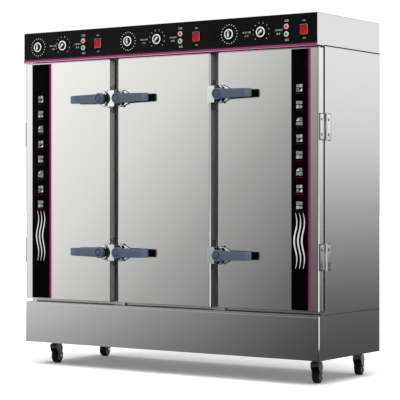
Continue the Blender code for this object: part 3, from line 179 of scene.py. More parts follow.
def speckled(name, base, other, grainMm, depthMm, roughness, ior=None, shine=0.5, more=None):
    # a moulded, bonded or printed surface: two close colours in a fine grain that also roughs the skin
    values = {"Roughness": roughness, "Specular IOR Level": shine, **(more or {})}
    if ior:
        values["IOR"] = ior
    finish, tree, shader, place = newFinish(name, values)
    grain = addNoise(tree, place, grainMm, 4.0)
    linkTint(tree, shader, grain, base, other)
    linkBump(tree, shader, grain, depthMm, 0.5)
    return finish


# Pressed steel of the caster forks under dark grey e-coat, slightly dusty; the same dark grey lines the lap
# over the base and the roof's edge, and is painted shade in the strip at the frame's foot
darkSteelAndShade = speckled("darkSteelAndShade", "#333436", "#3C3D3F", 7, 0.02, 0.38, 1.5)
# Back-printed acrylic sheet of the control panel: deep black that gives back very little
blackAcrylic = speckled("blackAcrylic", "#080808", "#0C0C0D", 40, 0.004, 0.16, 1.49, 0.06)
# Screen printed film on the door strips, blacker than the panel
blackFilm = speckled("blackFilm", "#030304", "#060607", 30, 0.004, 0.22, 1.49, 0.01)
# Extruded PVC moulding, magenta and glossy, with a clear skin
magentaVinyl = speckled("magentaVinyl", "#7F1B52", "#8A2059", 25, 0.003, 0.24, 1.53, 0.4,
                        {"Coat Weight": 0.15, "Coat Roughness": 0.1})
# The same PVC in deep plum, used only as painted shade: the band above the moulding stands for its dark top,
# and the band between the film and each bead for the bead's shaded left side
paintedPlumShade = speckled("paintedPlumShade", "#2C061B", "#340A20", 25, 0.003, 0.30, 1.53, 0.08)
# Pink tinted polished metal: beside each bead a painted reflection of the bead in the door, and along the
# moulding's lower edge a painted highlight
paintedPinkSheen = speckled("paintedPinkSheen", "#FFB4D6", "#FFBCDC", 25, 0.003, 0.12, more={"Metallic": 1.0})
# Glass filled nylon of the levers, moulded with a fine spark texture; the cap is a little darker, and the
# lighter tip is a painted highlight
leverNylon = speckled("leverNylon", "#485165", "#50596E", 3, 0.03, 0.42, 1.53, 0.4)
leverTipHighlight = speckled("leverTipHighlight", "#525E70", "#5A6679", 3, 0.03, 0.40, 1.53, 0.4)
leverCapNylon = speckled("leverCapNylon", "#3E475A", "#454F62", 3, 0.03, 0.36, 1.53, 0.4)
# Black nylon of the pivot housings, the lever claws and the knobs; on the lever backs, in the groove round
# each lever's cap and as the block under the middle and right levers it is painted shade
blackNylonAndShade = speckled("blackNylonAndShade", "#0A0A0B", "#0F0F10", 3, 0.02, 0.35, 1.53, 0.16)
# Black silicone, extruded and matt: the cord under the header; as the rim round the latch plates and the pads
# under the hinge leaves it is painted shade
blackSiliconeAndShade = speckled("blackSiliconeAndShade", "#151516", "#1C1C1D", 6, 0.05, 0.72, 1.41, 0.3)
# Grey silicone of the door gaskets, the same extrusion with chalk in it
greySilicone = speckled("greySilicone", "#303031", "#38383A", 6, 0.05, 0.66, 1.41, 0.12)
# Die cast zinc left dull on the keeper's tabs
castZinc = speckled("castZinc", "#B4AFA8", "#C2BDB6", 4, 0.03, 0.5, more={"Metallic": 1.0})
# Vulcanised rubber tyre, dusty from the floor
tyreRubber = speckled("tyreRubber", "#0C0C0D", "#141415", 5, 0.08, 0.6, 1.52, 0.12)
# Grey polypropylene wheel centre, waxy
hubPlastic = speckled("hubPlastic", "#77797C", "#83858A", 4, 0.04, 0.5, 1.49, 0.4)
# Polycarbonate rocker, glossy red right through
rockerRed = speckled("rockerRed", "#AE090C", "#B80C10", 10, 0.003, 0.24, 1.58, 0.14)
# ABS bezels round the switches, light grey all over: a painted highlight that stands for the glint on their
# outer edges
bezelGlintGrey = speckled("bezelGlintGrey", "#A8A29C", "#B2ADA8", 4, 0.01, 0.35, 1.54, 0.4)
# Acrylic lamp lenses, unlit: a pale frosted ring round a deep middle
lensRed = speckled("lensRed", "#6E1420", "#8A2430", 3, 0.05, 0.16, 1.49)
lensGreen = speckled("lensGreen", "#17502A", "#246338", 3, 0.05, 0.16, 1.49)
ringRed = speckled("ringRed", "#DDA3AE", "#E6B2BB", 3, 0.03, 0.3, 1.49)
ringGreen = speckled("ringGreen", "#AFCBB3", "#BDD6C0", 3, 0.03, 0.3, 1.49)
# White enamel filled into the knobs' rings and pointers
whiteEnamel = speckled("whiteEnamel", "#EDEDED", "#F6F6F6", 4, 0.004, 0.3, shine=0.4)
# Screen printing inks on the panel and strips, slightly uneven
whiteInk = speckled("whiteInk", "#C9C9CA", "#DEDEDE", 2, 0.002, 0.6, shine=0.2)
greyInk = speckled("greyInk", "#A2A2A3", "#B4B4B5", 2, 0.002, 0.6, shine=0.2)
redInk = speckled("redInk", "#6A2030", "#7A2838", 2, 0.002, 0.6, shine=0.2)


def turnedMetal(name, colour, roughness, ringMm):
    # lathe turned or drawn metal: fine tool marks, drawn at the given pitch
    finish, tree, shader, place = newFinish(name, {"Base Color": hexColour(colour), "Metallic": 1.0})
    linkRoughness(tree, shader, addNoise(tree, place, ringMm, 3.0), roughness)
    return finish


# Blackened steel of the screws
blackenedSteel = turnedMetal("blackenedSteel", "#3A3B3D", (0.32, 0.45), 3)
# Yellow brass of the water fittings
yellowBrass = turnedMetal("yellowBrass", "#C9A35A", (0.22, 0.34), 4)
# Annealed steel tube of the heaters, straw and grey from heat
annealedSteel = turnedMetal("annealedSteel", "#8D857B", (0.35, 0.5), 9)
print("materials made:", len(bpy.data.materials))


def frontPlace(x, y, z, side=1):
    # local x runs to the right, or to the left where side is -1; y up; z out of the front
    turn = Matrix.Rotation(math.pi / 2, 4, "X")
    return Matrix.Translation((x, y, z)) @ turn @ Matrix.Diagonal((side, 1, 1, 1))


def backPlace(x, y, z):
    # local x runs to the right of someone behind the cabinet, y up, z out of the back
    turn = Matrix.Rotation(math.pi, 4, "Z") @ Matrix.Rotation(math.pi / 2, 4, "X")
    return Matrix.Translation((x, y, z)) @ turn


def sidePlace(x, y, z, way):
    # local z runs out of the cabinet's right side, or the left one where way is -1
    return Matrix.Translation((x, y, z)) @ Matrix.Rotation(math.pi / 2 * way, 4, "Y")


def stepsFrom(radius, height, rows):
    # profile rows of (radius, height, material slot), given in millimetres from a corner
    return [(radius + out * mm, height + up * mm, slot) for out, up, slot in rows]


def addTurned(bm, profile, place, steps=32):
    # profile of (radius, height, material slot) about the local z axis
    angles = [math.tau * step / steps for step in range(steps)]
    rings = []
    for radius, height, _ in profile:
        ring = [(radius * math.cos(a), radius * math.sin(a)) for a in angles] if radius > 1e-6 else [(0, 0)]
        rings.append([bm.verts.new(place @ Vector((x, y, height))) for x, y in ring])
    for near, far, (_, _, slot) in zip(rings, rings[1:], profile[1:]):
        for step in range(steps):
            after = step + 1
            corners = (near[step % len(near)], near[after % len(near)],
                       far[after % len(far)], far[step % len(far)])
            corners = list(dict.fromkeys(corners))
            if len(corners) > 2:
                bm.faces.new(corners).material_index = slot


def addLoft(bm, rings, slots=None, capped=True):
    # closed rings of points joined into a skin; slots gives a material slot from ring and side numbers
    made = [[bm.verts.new(point) for point in ring] for ring in rings]
    for row, (near, far) in enumerate(zip(made, made[1:])):
        for side in range(len(near)):
            after = (side + 1) % len(near)
            face = bm.faces.new((near[side], near[after], far[after], far[side]))
            face.material_index = slots(row, side) if slots else 0
    if capped:
        bm.faces.new(made[0][::-1]).material_index = slots(0, 0) if slots else 0
        bm.faces.new(made[-1]).material_index = slots(len(made) - 2, 0) if slots else 0


def addPlate(bm, outline, place, back, front, slot=0, edge=0.0, steps=2):
    # flat outline drawn out from back to front, with its front edge rounded
    base = bm.faces.new([bm.verts.new(place @ Vector((x, y, back))) for x, y in outline])
    base.material_index = slot
    grown = bmesh.ops.extrude_face_region(bm, geom=[base])["geom"]
    far = [item for item in grown if isinstance(item, bmesh.types.BMVert)]
    shift = place.to_3x3() @ Vector((0, 0, front - back))
    bmesh.ops.translate(bm, verts=far, vec=shift)
    if edge:
        rim = [item for item in grown if isinstance(item, bmesh.types.BMEdge)]
        bmesh.ops.bevel(bm, geom=rim, offset=edge, segments=steps, affect="EDGES", profile=0.5)


def addBlock(bm, low, high, place=Matrix(), slot=0, edge=0.0):
    outline = ((low[0], low[1]), (high[0], low[1]), (high[0], high[1]), (low[0], high[1]))
    addPlate(bm, outline, place, low[2], high[2], slot, edge)


def addWords(bm, words, size, place):
    # words or numbers set in Blender's own plain letters, centred on the place
    curve = bpy.data.curves.new("letters", "FONT")
    curve.body = words
    curve.size = size
    curve.offset = size * 0.02
    curve.align_x = "CENTER"
    curve.align_y = "CENTER"
    curve.resolution_u = 2
    holder = bpy.data.objects.new("letters", curve)
    flat = bpy.data.meshes.new_from_object(holder)
    verts = [bm.verts.new(place @ vert.co) for vert in flat.vertices]
    for polygon in flat.polygons:
        bm.faces.new([verts[index] for index in polygon.vertices])
    bpy.data.objects.remove(holder)
    bpy.data.curves.remove(curve)
    bpy.data.meshes.remove(flat)


def arcPoints(radius, start, end, steps, centre=(0, 0)):
    angles = [math.radians(start + (end - start) * step / steps) for step in range(steps + 1)]
    return [(centre[0] + radius * math.cos(a), centre[1] + radius * math.sin(a)) for a in angles]


def hexagon(radius):
    return arcPoints(radius, 0, 300, 5)


def addBand(bm, inner, outer, place, height, slot=0):
    # flat printed band between two rows of points
    near = [bm.verts.new(place @ Vector((x, y, height))) for x, y in inner]
    far = [bm.verts.new(place @ Vector((x, y, height))) for x, y in outer]
    for index in range(len(near) - 1):
        bm.faces.new((near[index], near[index + 1], far[index + 1], far[index])).material_index = slot


def makePiece(name, draw, finishes, body, smooth=True, replaced=()):
    bm = bmesh.new()
    draw(bm)
    bmesh.ops.recalc_face_normals(bm, faces=bm.faces)
    mesh = bpy.data.meshes.new(name)
    bm.to_mesh(mesh)
    bm.free()
    for finish in finishes:
        mesh.materials.append(finish)
    if smooth:
        mesh.shade_smooth()
        mesh.set_sharp_from_angle(angle=math.radians(34))
    piece = bpy.data.objects.new(name, mesh)
    bpy.context.scene.collection.objects.link(piece)
    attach(piece, body)
    if replaced:
        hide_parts(*replaced)


def dress(nodeName, finish):
    node = nodes[nodeName]
    node.data.materials.clear()
    node.data.materials.append(finish)


for name in ("outer_casing", "header_casing", "base_skirt", "water_tank",
             "partition_left", "partition_right"):
    dress(name, brushedStainless)
dress("front_frame", satinStainless)
dress("control_panel", blackAcrylic)
dress("header_trim", magentaVinyl)
for name in doorNames:
    dress("door_shell_" + name, polishedStainless)
    dress("door_gasket_" + name, greySilicone)
    dress("heater_" + name, annealedSteel)
    dress("tray_rack_" + name, uprightStainless)
    dress("rocker_" + name, rockerRed)
for level in levels:
    for side in sides:
        dress("keeper_" + side + "_" + level, brightChrome)
        dress("hinge_leaf_" + side + "_" + level, polishedStainless)
for name in casterNames:
    dress("caster_fork_" + name, darkSteelAndShade)
print("CAD pieces dressed")

trimLook = inMm({"inset": 0.6, "lip": (-2.6, -0.2), "lipDepth": (-4, 1.5), "lipEdge": 1.2,
                 "border": (0.2, 7), "ink": (0.1, 0.25), "foil": (0.6, 2.4), "foilDepth": (-1, 0.2)})


def trimEdges(bm):
    # lip under the moulding, a plum band above it that is painted shade of the moulding's top, and a pink
    # strip along its lower edge that is a painted highlight
    low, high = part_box("header_trim")
    panelLow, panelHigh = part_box("control_panel")
    place = frontPlace(0, panelFrontY, 0)
    left, right = low.x + trimLook["inset"], high.x - trimLook["inset"]
    (foot, top), (back, front) = trimLook["lip"], trimLook["lipDepth"]
    addBlock(bm, (left, low.z + foot, back), (right, low.z + top, front), place, 1, trimLook["lipEdge"])
    (foot, top), (back, front) = trimLook["border"], trimLook["ink"]
    addBlock(bm, (panelLow.x, high.z + foot, back), (panelHigh.x, high.z + top, front), place, 0)
    (foot, top), (back, front) = trimLook["foil"], trimLook["foilDepth"]
    face = panelFrontY - low.y
    addBlock(bm, (left, low.z + foot, face + back), (right, low.z + top, face + front), place, 2)


makePiece("trimEdges", trimEdges, (paintedPlumShade, magentaVinyl, paintedPinkSheen), "cabinet",
          smooth=False)

doorEdge = inMm({
    "hem": ((-0.5, 0.2), (0.2, 0.3), (3.3, 4.7), (3.3, 5.9), (0, 7.2)), "end": 1, "gasketInset": 12,
    "lip": (42, 49.5), "lipProud": 0.3, "lipThick": 1.5,
    "topInset": 8, "topRise": (-1.5, 2.8), "topDepth": (-5, 0.7), "topEdge": 0.3,
})


def makeDoorEdge(door, way):
    # rolled hem along the door's hinge side and over its top
    low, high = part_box("door_shell_" + door)
    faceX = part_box("door_gasket_" + door)[(way + 1) // 2].x + way * doorEdge["gasketInset"]
    bottom, top = low.z + doorEdge["end"], high.z - doorEdge["end"]

    def draw(bm):
        hem = doorEdge["hem"]
        addLoft(bm, [[Vector((faceX + way * x, doorFrontY + y, z)) for x, y in hem] for z in (bottom, top)])
        inner, outer = sorted((faceX - way * doorEdge["lipThick"], faceX + way * doorEdge["lipProud"]))
        near, far = doorEdge["lip"]
        addBlock(bm, (inner, doorFrontY + near, bottom), (outer, doorFrontY + far, top))
        (foot, rise), (back, front) = doorEdge["topRise"], doorEdge["topDepth"]
        addBlock(bm, (low.x + doorEdge["topInset"], high.z + foot, back),
                 (high.x - doorEdge["topInset"], high.z + rise, front),
                 frontPlace(0, doorFrontY, 0), 0, doorEdge["topEdge"])

    makePiece("doorEdge_" + door, draw, (polishedStainless,), "door_" + door)


for door in doorNames:
    makeDoorEdge(door, hingeSide[door])
print("door edges made")

# folded edges of the skirt cover's top and corners and of the side panels' front edges, in bright chrome:
# real folds, made brighter than the brushed sheet as a painted highlight
coverEdge = inMm({"fold": 6.4, "foldDrop": 9.6, "bend": 2.8, "bendReach": 1.96, "proud": 0.5, "thick": 1,
                  "line": 3.2, "lineRise": (0.4, 0.3), "lineSunk": 0.5})


def coverEdges(bm):
    low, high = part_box("base_skirt")
    fold, drop, proud, thick = (coverEdge[key] for key in ("fold", "foldDrop", "proud", "thick"))
    front, top = low.y, high.z
    profile = ((front - proud, top - drop), (front + fold, top + proud),
               (front + fold + thick, top - thick), (front + thick, top - drop - thick))
    addLoft(bm, [[Vector((x, y, z)) for y, z in profile] for x in (low.x + fold, high.x - fold)])
    bend, reach, line = coverEdge["bend"], coverEdge["bendReach"], coverEdge["line"]
    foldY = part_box("door_gasket_left")[1].y
    for way in (-1, 1):
        side = way * high.x
        corner = ((side - way * reach, front - proud), (side + way * proud, front + bend),
                  (side - way * thick, front + bend + thick), (side - way * bend, front + thick))
        addLoft(bm, [[Vector((x, y, z)) for x, y in corner] for z in (low.z + thick, top - fold)])
        rise, sunk = coverEdge["lineRise"], coverEdge["lineSunk"]
        panel = ((side - way * sunk, foldY - proud), (side + way * rise[0], foldY + line / 2),
                 (side + way * rise[1], foldY + line), (side - way * sunk, foldY + line))
        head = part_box("header_casing")[0].z - thick
        addLoft(bm, [[Vector((x, y, z)) for x, y in panel] for z in (low.z + thick, head)])


makePiece("coverEdges", coverEdges, (brightChrome,), "cabinet")

seam = inMm({"headHalf": 3.1, "footHalf": 1.8, "roof": 1.4, "roofGap": 0.2, "sill": (0.9, 4.8),
             "sillDepth": (2.2, 0.5), "proud": 0.35, "sunk": 1})


def caseSeams(bm):
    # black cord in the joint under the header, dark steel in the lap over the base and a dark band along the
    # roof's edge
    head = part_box("header_casing")
    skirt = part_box("base_skirt")[1]
    sunk, proud = seam["sunk"], seam["proud"]
    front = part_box("door_gasket_left")[1].y + sunk
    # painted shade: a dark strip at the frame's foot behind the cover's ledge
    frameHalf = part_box("front_frame")[1].x
    (foot, top), (near, far) = seam["sill"], seam["sillDepth"]
    addBlock(bm, (-frameHalf, front - near, skirt.z + foot), (frameHalf, front - far, skirt.z + top), slot=1)
    for way in (-1, 1):
        inner, outer = sorted((way * (skirt.x - sunk), way * (skirt.x + proud)))
        for slot, z, half in ((0, head[0].z, seam["headHalf"]), (1, skirt.z, seam["footHalf"])):
            addBlock(bm, (inner, front, z - half), (outer, backY - sunk, z + half), slot=slot)
        inner, outer = sorted((way * (head[1].x - sunk), way * (head[1].x + proud / 2)))
        addBlock(bm, (inner, head[0].y + sunk, head[1].z - seam["roof"]),
                 (outer, head[1].y - sunk, head[1].z - seam["roofGap"]), slot=1)


makePiece("caseSeams", caseSeams, (blackSiliconeAndShade, darkSteelAndShade), "cabinet", smooth=False)

latch = inMm({
    "setback": {"left": 40, "middle": 25.5, "right": 25.5}, "plateInset": 3,
    "plateReach": {"left": 42, "middle": 64, "right": 64},
    "plateHalf": 45, "plateThick": 6, "plateEdge": 2,
    "sealProud": 2.2, "sealThick": 2.5, "sealDepth": (0.4, 2.7),
    "housingHalf": {"left": 20, "middle": 14, "right": 14},
    "housingHeight": 40, "housingTop": 17.8, "housingEdge": 1.6, "overhang": 4.2, "sunk": 1,
    "collarRadius": 11, "collarTop": 17.5, "pinRadius": 8, "pinEnd": 30,
    "stop": ((34, -25), (43, 25)), "stopTop": 22, "stopEdge": 1.5,
    "screws": {"left": ((-9, 36), (-9, -36), (-35, 38), (-35, -38)),
               "middle": ((-1, 37), (-1, -37)), "right": ((-1, 37), (-1, -37))},
    "screwRadius": 3.6, "screwHeight": 1.6,
})


def plateOutline(door, grow=0.0):
    # half an ellipse that starts at the door's edge
    edgeSide = latch["setback"][door] - latch["plateInset"]
    reach, half = latch["plateReach"][door] + edgeSide + grow, latch["plateHalf"] + grow
    count = 32
    points = []
    for step in range(count + 1):
        angle = math.radians(-90 + 180 * step / count)
        corner = grow if step in (0, count) else 0
        points.append((reach * math.cos(angle) - edgeSide - corner, half * math.sin(angle)))
    return points


def lensOutline(halfWidth, halfHeight, shift, steps=10):
    radius = (halfWidth ** 2 + halfHeight ** 2) / (2 * halfWidth)
    sweep = math.asin(halfHeight / radius)
    points = []
    for way in (1, -1):
        for step in range(steps):
            angle = way * (-sweep + 2 * sweep * step / steps)
            along = halfWidth - radius + radius * math.cos(angle)
            points.append((shift + way * along, radius * math.sin(angle)))
    return points


def addScrew(bm, place, radius, height, slot=0):
    # domed screw head
    profile = ((0, -height / 2, slot), (radius, -height / 2, slot), (radius, height * 0.2, slot),
               (radius * 0.86, height * 0.62, slot), (radius * 0.6, height * 0.9, slot), (0, height, slot))
    addTurned(bm, profile, place, 14)


def makeLatchBase(door, level):
    name = door + "_" + level
    place = frontPlace(*jointAt["latch_" + name + "_turn"], leverSide[door])
    halfWidth = latch["housingHalf"][door]
    shift = -(latch["setback"][door] + latch["overhang"] - halfWidth)
    start = latch["plateThick"] - latch["sunk"]

    def draw(bm):
        addPlate(bm, plateOutline(door), place, latch["sealThick"], latch["plateThick"], 0,
                 latch["plateEdge"], 3)
        # the black rim round the chrome plate is painted shade along the plate's edge
        addPlate(bm, plateOutline(door, latch["sealProud"]), place, *latch["sealDepth"], 1)
        lens = lensOutline(halfWidth, latch["housingHeight"], shift)
        addPlate(bm, lens, place, start, latch["housingTop"], 2, latch["housingEdge"], 3)
        collar, top, pin, end = (latch[key] for key in ("collarRadius", "collarTop", "pinRadius", "pinEnd"))
        corners = ((0, start), (collar, start), (collar, top), (pin, top), (pin, end), (0, end))
        addTurned(bm, [(radius, height, 2) for radius, height in corners], place, 24)
        # the black block under the middle and right levers is painted shade under the lever
        if door != "left":
            low, high = latch["stop"]
            addBlock(bm, (*low, start), (*high, latch["stopTop"]), place, 2, latch["stopEdge"])
        for x, y in latch["screws"][door]:
            spot = place @ Matrix.Translation((x, y, latch["plateThick"]))
            addScrew(bm, spot, latch["screwRadius"], latch["screwHeight"], 3)

    makePiece("latchPlate_" + name, draw, (brightChrome, blackSiliconeAndShade, blackNylonAndShade, blackenedSteel),
              "door_" + door, replaced=("latch_base_" + name,))


lever = inMm({
    "bossRadius": 30, "bossFront": 57, "bossBack": 18.4, "capRadius": 16.5,
    "barStart": 21, "barEnd": 200, "rootHalf": 25, "tipHalf": 21.5,
    "rootFront": 54.2, "tipFront": 46.5, "thick": 16, "corner": 4.5, "gripStart": 163,
    "claw": (22, 33, -38), "clawDepth": (31.2, 34.6), "clawEdge": 1.2, "rivets": ((-36, -24), (-36, 24)),
    "horns": ((-20, 0), (-18, 28), (-12, 47), (-5, 48), (7, 30), (8, 0),
              (7, -30), (-5, -48), (-12, -47), (-18, -28)),
    "ribs": (-10, 0, 10), "ribFrom": 52, "ribTo": 150, "ribHalf": 1.5, "ribRise": 0.8,
})
leverStations = 14
leverBodyShare = 0.955
leverTipShares = ((0.975, 0.4), (0.99, 1.5), (0.998, 3.2), (1.0, 4.4))  # share of the length, mm shrunk


def roundedRing(half, low, high, corner, steps=4):
    # rectangle with rounded corners: half its first side, and both ends of its second
    points = []
    corners = ((half - corner, high - corner, 0), (corner - half, high - corner, 90),
               (corner - half, low + corner, 180), (half - corner, low + corner, 270))
    for x, y, start in corners:
        points += arcPoints(corner, start, start + 90, steps, (x, y))
    return points


def leverFront(x):
    # the bar's front at a distance from the pivot
    share = (x - lever["barStart"]) / (lever["barEnd"] - lever["barStart"])
    return lever["rootFront"] + (lever["tipFront"] - lever["rootFront"]) * share


def addLeverBoss(bm, place):
    r, back, front, cap = (lever[key] for key in ("bossRadius", "bossBack", "bossFront", "capRadius"))
    profile = [(0, back, 1)]
    profile += stepsFrom(r, back, ((-1.5, 0, 1), (0, 1.5, 1), (0, 6, 1)))
    profile += stepsFrom(r, front, ((0, -3.2, 0), (-0.5, -1.6, 0), (-1.6, -0.5, 0), (-3.2, 0, 0)))
    # the black ring at the foot of the groove round the cap is painted shade in the recess
    profile += stepsFrom(cap, front, ((4.6, 0, 0), (3.8, -0.7, 0), (3.2, -3.4, 0), (0.2, -3.4, 1),
                                      (0, -2.0, 3), (-1.2, -1.2, 3)))
    profile += stepsFrom(cap * 0.6, front, ((0, -0.6, 3),)) + stepsFrom(0, front, ((0, -0.4, 3),))
    addTurned(bm, profile, place, 48)


def addLeverClaw(bm, door, place):
    # black claw that reaches over the keeper and turns with the lever
    start, end = lever["clawDepth"]
    outline = lensOutline(*lever["claw"], 14) if door == "left" else lever["horns"]
    addPlate(bm, outline, place, start, end, 1, lever["clawEdge"])
    if door == "left":
        head = stepsFrom(0, 0, ((0, -1, 4), (4.5, -1, 4), (4.5, 2, 4), (3.2, 3.2, 4), (0, 3.6, 4)))
        for x, y in lever["rivets"]:
            addTurned(bm, head, place @ Matrix.Translation((x, y, end)), 20)


def addLeverBar(bm, place):
    length, thickest = lever["barEnd"] - lever["barStart"], lever["thick"]
    stations = []
    for step in range(leverStations + 1):
        share = step / leverStations
        half = lever["rootHalf"] + (lever["tipHalf"] - lever["rootHalf"]) * share
        stations.append((lever["barStart"] + length * leverBodyShare * share, half, thickest))
    for along, shrink in leverTipShares:
        shrink *= mm
        stations.append((lever["barStart"] + length * along, lever["tipHalf"] - shrink, thickest - shrink))
    rings = []
    for x, half, thick in stations:
        top = leverFront(x) - (thickest - thick) / 2
        ring = roundedRing(half, top - thick, top, min(lever["corner"], thick / 2 - 0.1 * mm))
        rings.append([place @ Vector((x, y, z)) for y, z in ring])

    def barSlot(row, side):
        # black back, painted shade on the underside; blue-grey body; lighter tip, a painted highlight
        if 10 <= side < 19:
            return 1
        return 2 if stations[row][0] >= lever["gripStart"] else 0

    addLoft(bm, rings, barSlot)


def addLeverRibs(bm, place):
    turns = [math.tau * turn / 8 for turn in range(8)]
    for y in lever["ribs"]:
        rings = []
        for step in range(9):
            share = step / 8
            x = lever["ribFrom"] + (lever["ribTo"] - lever["ribFrom"]) * share
            grow = math.sin(math.pi * min(max(share, 0.04), 0.96)) ** 0.35
            half, rise = lever["ribHalf"] * grow, lever["ribRise"] * grow
            front = leverFront(x)
            rings.append([
                place @ Vector((x, y + half * math.cos(a), front + rise * math.sin(a))) for a in turns])
        addLoft(bm, rings)


def makeLever(door, level):
    name = door + "_" + level
    place = frontPlace(*jointAt["latch_" + name + "_turn"], leverSide[door])

    def draw(bm):
        addLeverBoss(bm, place)
        addLeverClaw(bm, door, place)
        addLeverBar(bm, place)
        addLeverRibs(bm, place)

    finishes = (leverNylon, blackNylonAndShade, leverTipHighlight, leverCapNylon, brightChrome)
    makePiece("leverHandle_" + name, draw, finishes, "latch_lever_" + name,
              replaced=("lever_" + name,))


for door in doorNames:
    for level in levels:
        makeLatchBase(door, level)
        makeLever(door, level)
print("latches made")

keeper = inMm({"screwRadius": 3.6, "screwHeight": 2.4, "screwRise": 62, "flange": 3,
               "tabX": (1.8, 17), "tabZ": (46, 76), "tabDepth": (0.1, 1.2), "tabEdge": 0.4})


def makeKeeperScrews(side, level):
    low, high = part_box("keeper_" + side + "_" + level)
    middle = (low + high) / 2
    place = frontPlace(middle.x, high.y - keeper["flange"], middle.z)

    def draw(bm):
        for way in (-1, 1):
            spot = place @ Matrix.Translation((0, way * keeper["screwRise"], 0))
            addScrew(bm, spot, keeper["screwRadius"], keeper["screwHeight"])
            bottom, top = sorted(way * size for size in keeper["tabZ"])
            back, front = keeper["tabDepth"]
            for hand in (-1, 1):
                left, right = sorted(hand * size for size in keeper["tabX"])
                addBlock(bm, (left, bottom, back), (right, top, front), place, 1, keeper["tabEdge"])

    makePiece("keeperScrews_" + side + "_" + level, draw, (blackenedSteel, castZinc), "cabinet")


for side in sides:
    for level in levels:
        makeKeeperScrews(side, level)

signLook = inMm({"line": 1.6, "step": 4, "thick": 0.1, "proud": 0.25})


def addSign(bm, kind, corner, size, place, front, slot):
    # plain sign for a dish or a setting: bars, framed dot, dots, steps, fence or rings
    (x, y), (wide, high), line, step = corner, size, signLook["line"], signLook["step"]
    bars = []
    if kind == 0:
        bars = [(0, row * (high - line) / 2, wide, line) for row in range(3)]
    elif kind == 1:
        bars = [(0, 0, wide, line), (0, high - line, wide, line), (0, line, line, high - 2 * line),
                (wide - line, line, line, high - 2 * line),
                (wide * 0.36, high * 0.36, wide * 0.28, high * 0.28)]
    elif kind == 2:
        bars = [(col * wide * 0.36, row * high * 0.36, wide * 0.28, high * 0.28)
                for col in range(3) for row in range(3)]
    elif kind == 3:
        bars = [(col * (wide - step) / 3, 0, step, high * (col + 1) / 4) for col in range(4)]
    elif kind == 4:
        bars = [(col * (wide - line) / 3, 0, line, high) for col in range(4)]
    else:
        centre = (x + wide / 2, y + high / 2)
        for radius in (min(wide, high) / 2, min(wide, high) / 4.2):
            inner = arcPoints(radius - line, 0, 360, 20, centre)
            addBand(bm, arcPoints(radius, 0, 360, 20, centre), inner, place, front, slot)
    for left, foot, across, up in bars:
        addBlock(bm, (x + left, y + foot, front - signLook["thick"]),
                 (x + left + across, y + foot + up, front), place, slot)


strip = inMm({
    "foil": {"left": 10, "right": 5}, "foilDepth": (0.1, 0.5), "bead": {"left": 6.5, "right": 8.5},
    "beadFoot": 0.4, "beadSide": 2.2, "beadProud": 5.0, "border": 6, "filmDepth": (0.4, 3.0), "filmEdge": 0.7,
    "markShift": -3.5, "ink": 0.15, "firstZ": 1485, "pitch": 83.5, "cell": (15.5, 15), "cellGap": (3, 5.5),
    "dividerHalf": 23, "dividerDrop": 29, "dividerHeight": 1.1,
    "waveFrom": 585, "waveTo": 862, "wavePitch": 22, "waveSwing": 8, "waveWidth": 9,
})
stripCounts = {"groups": 8, "beadSteps": 12, "waves": 3, "waveSteps": 32}


def addGroup(bm, centre, z, group, place, front):
    # four signs over a thin line
    (wide, high), (gapX, gapY) = strip["cell"], strip["cellGap"]
    for column in range(2):
        for row in range(2):
            kind = (group * 2 + column * 3 + row * 5) % 6
            corner = (centre - wide - gapX / 2 + column * (wide + gapX),
                      z - high - gapY / 2 + row * (high + gapY))
            addSign(bm, kind, corner, strip["cell"], place, front, 0)
    foot, half = z - strip["dividerDrop"], strip["dividerHalf"]
    addBlock(bm, (centre - half, foot, front - signLook["thick"]),
             (centre + half, foot + strip["dividerHeight"], front), place, 1)


def addWave(bm, x, place, front):
    left, right = [], []
    for step in range(stripCounts["waveSteps"] + 1):
        share = step / stripCounts["waveSteps"]
        z = strip["waveFrom"] + (strip["waveTo"] - strip["waveFrom"]) * share
        middle = x + strip["waveSwing"] * math.sin(math.tau * 1.5 * share)
        half = strip["waveWidth"] / 2 * math.sin(math.pi * (0.08 + 0.84 * share))
        left.append((middle - half, z))
        right.append((middle + half, z))
    addBand(bm, left, right, place, front, 0)


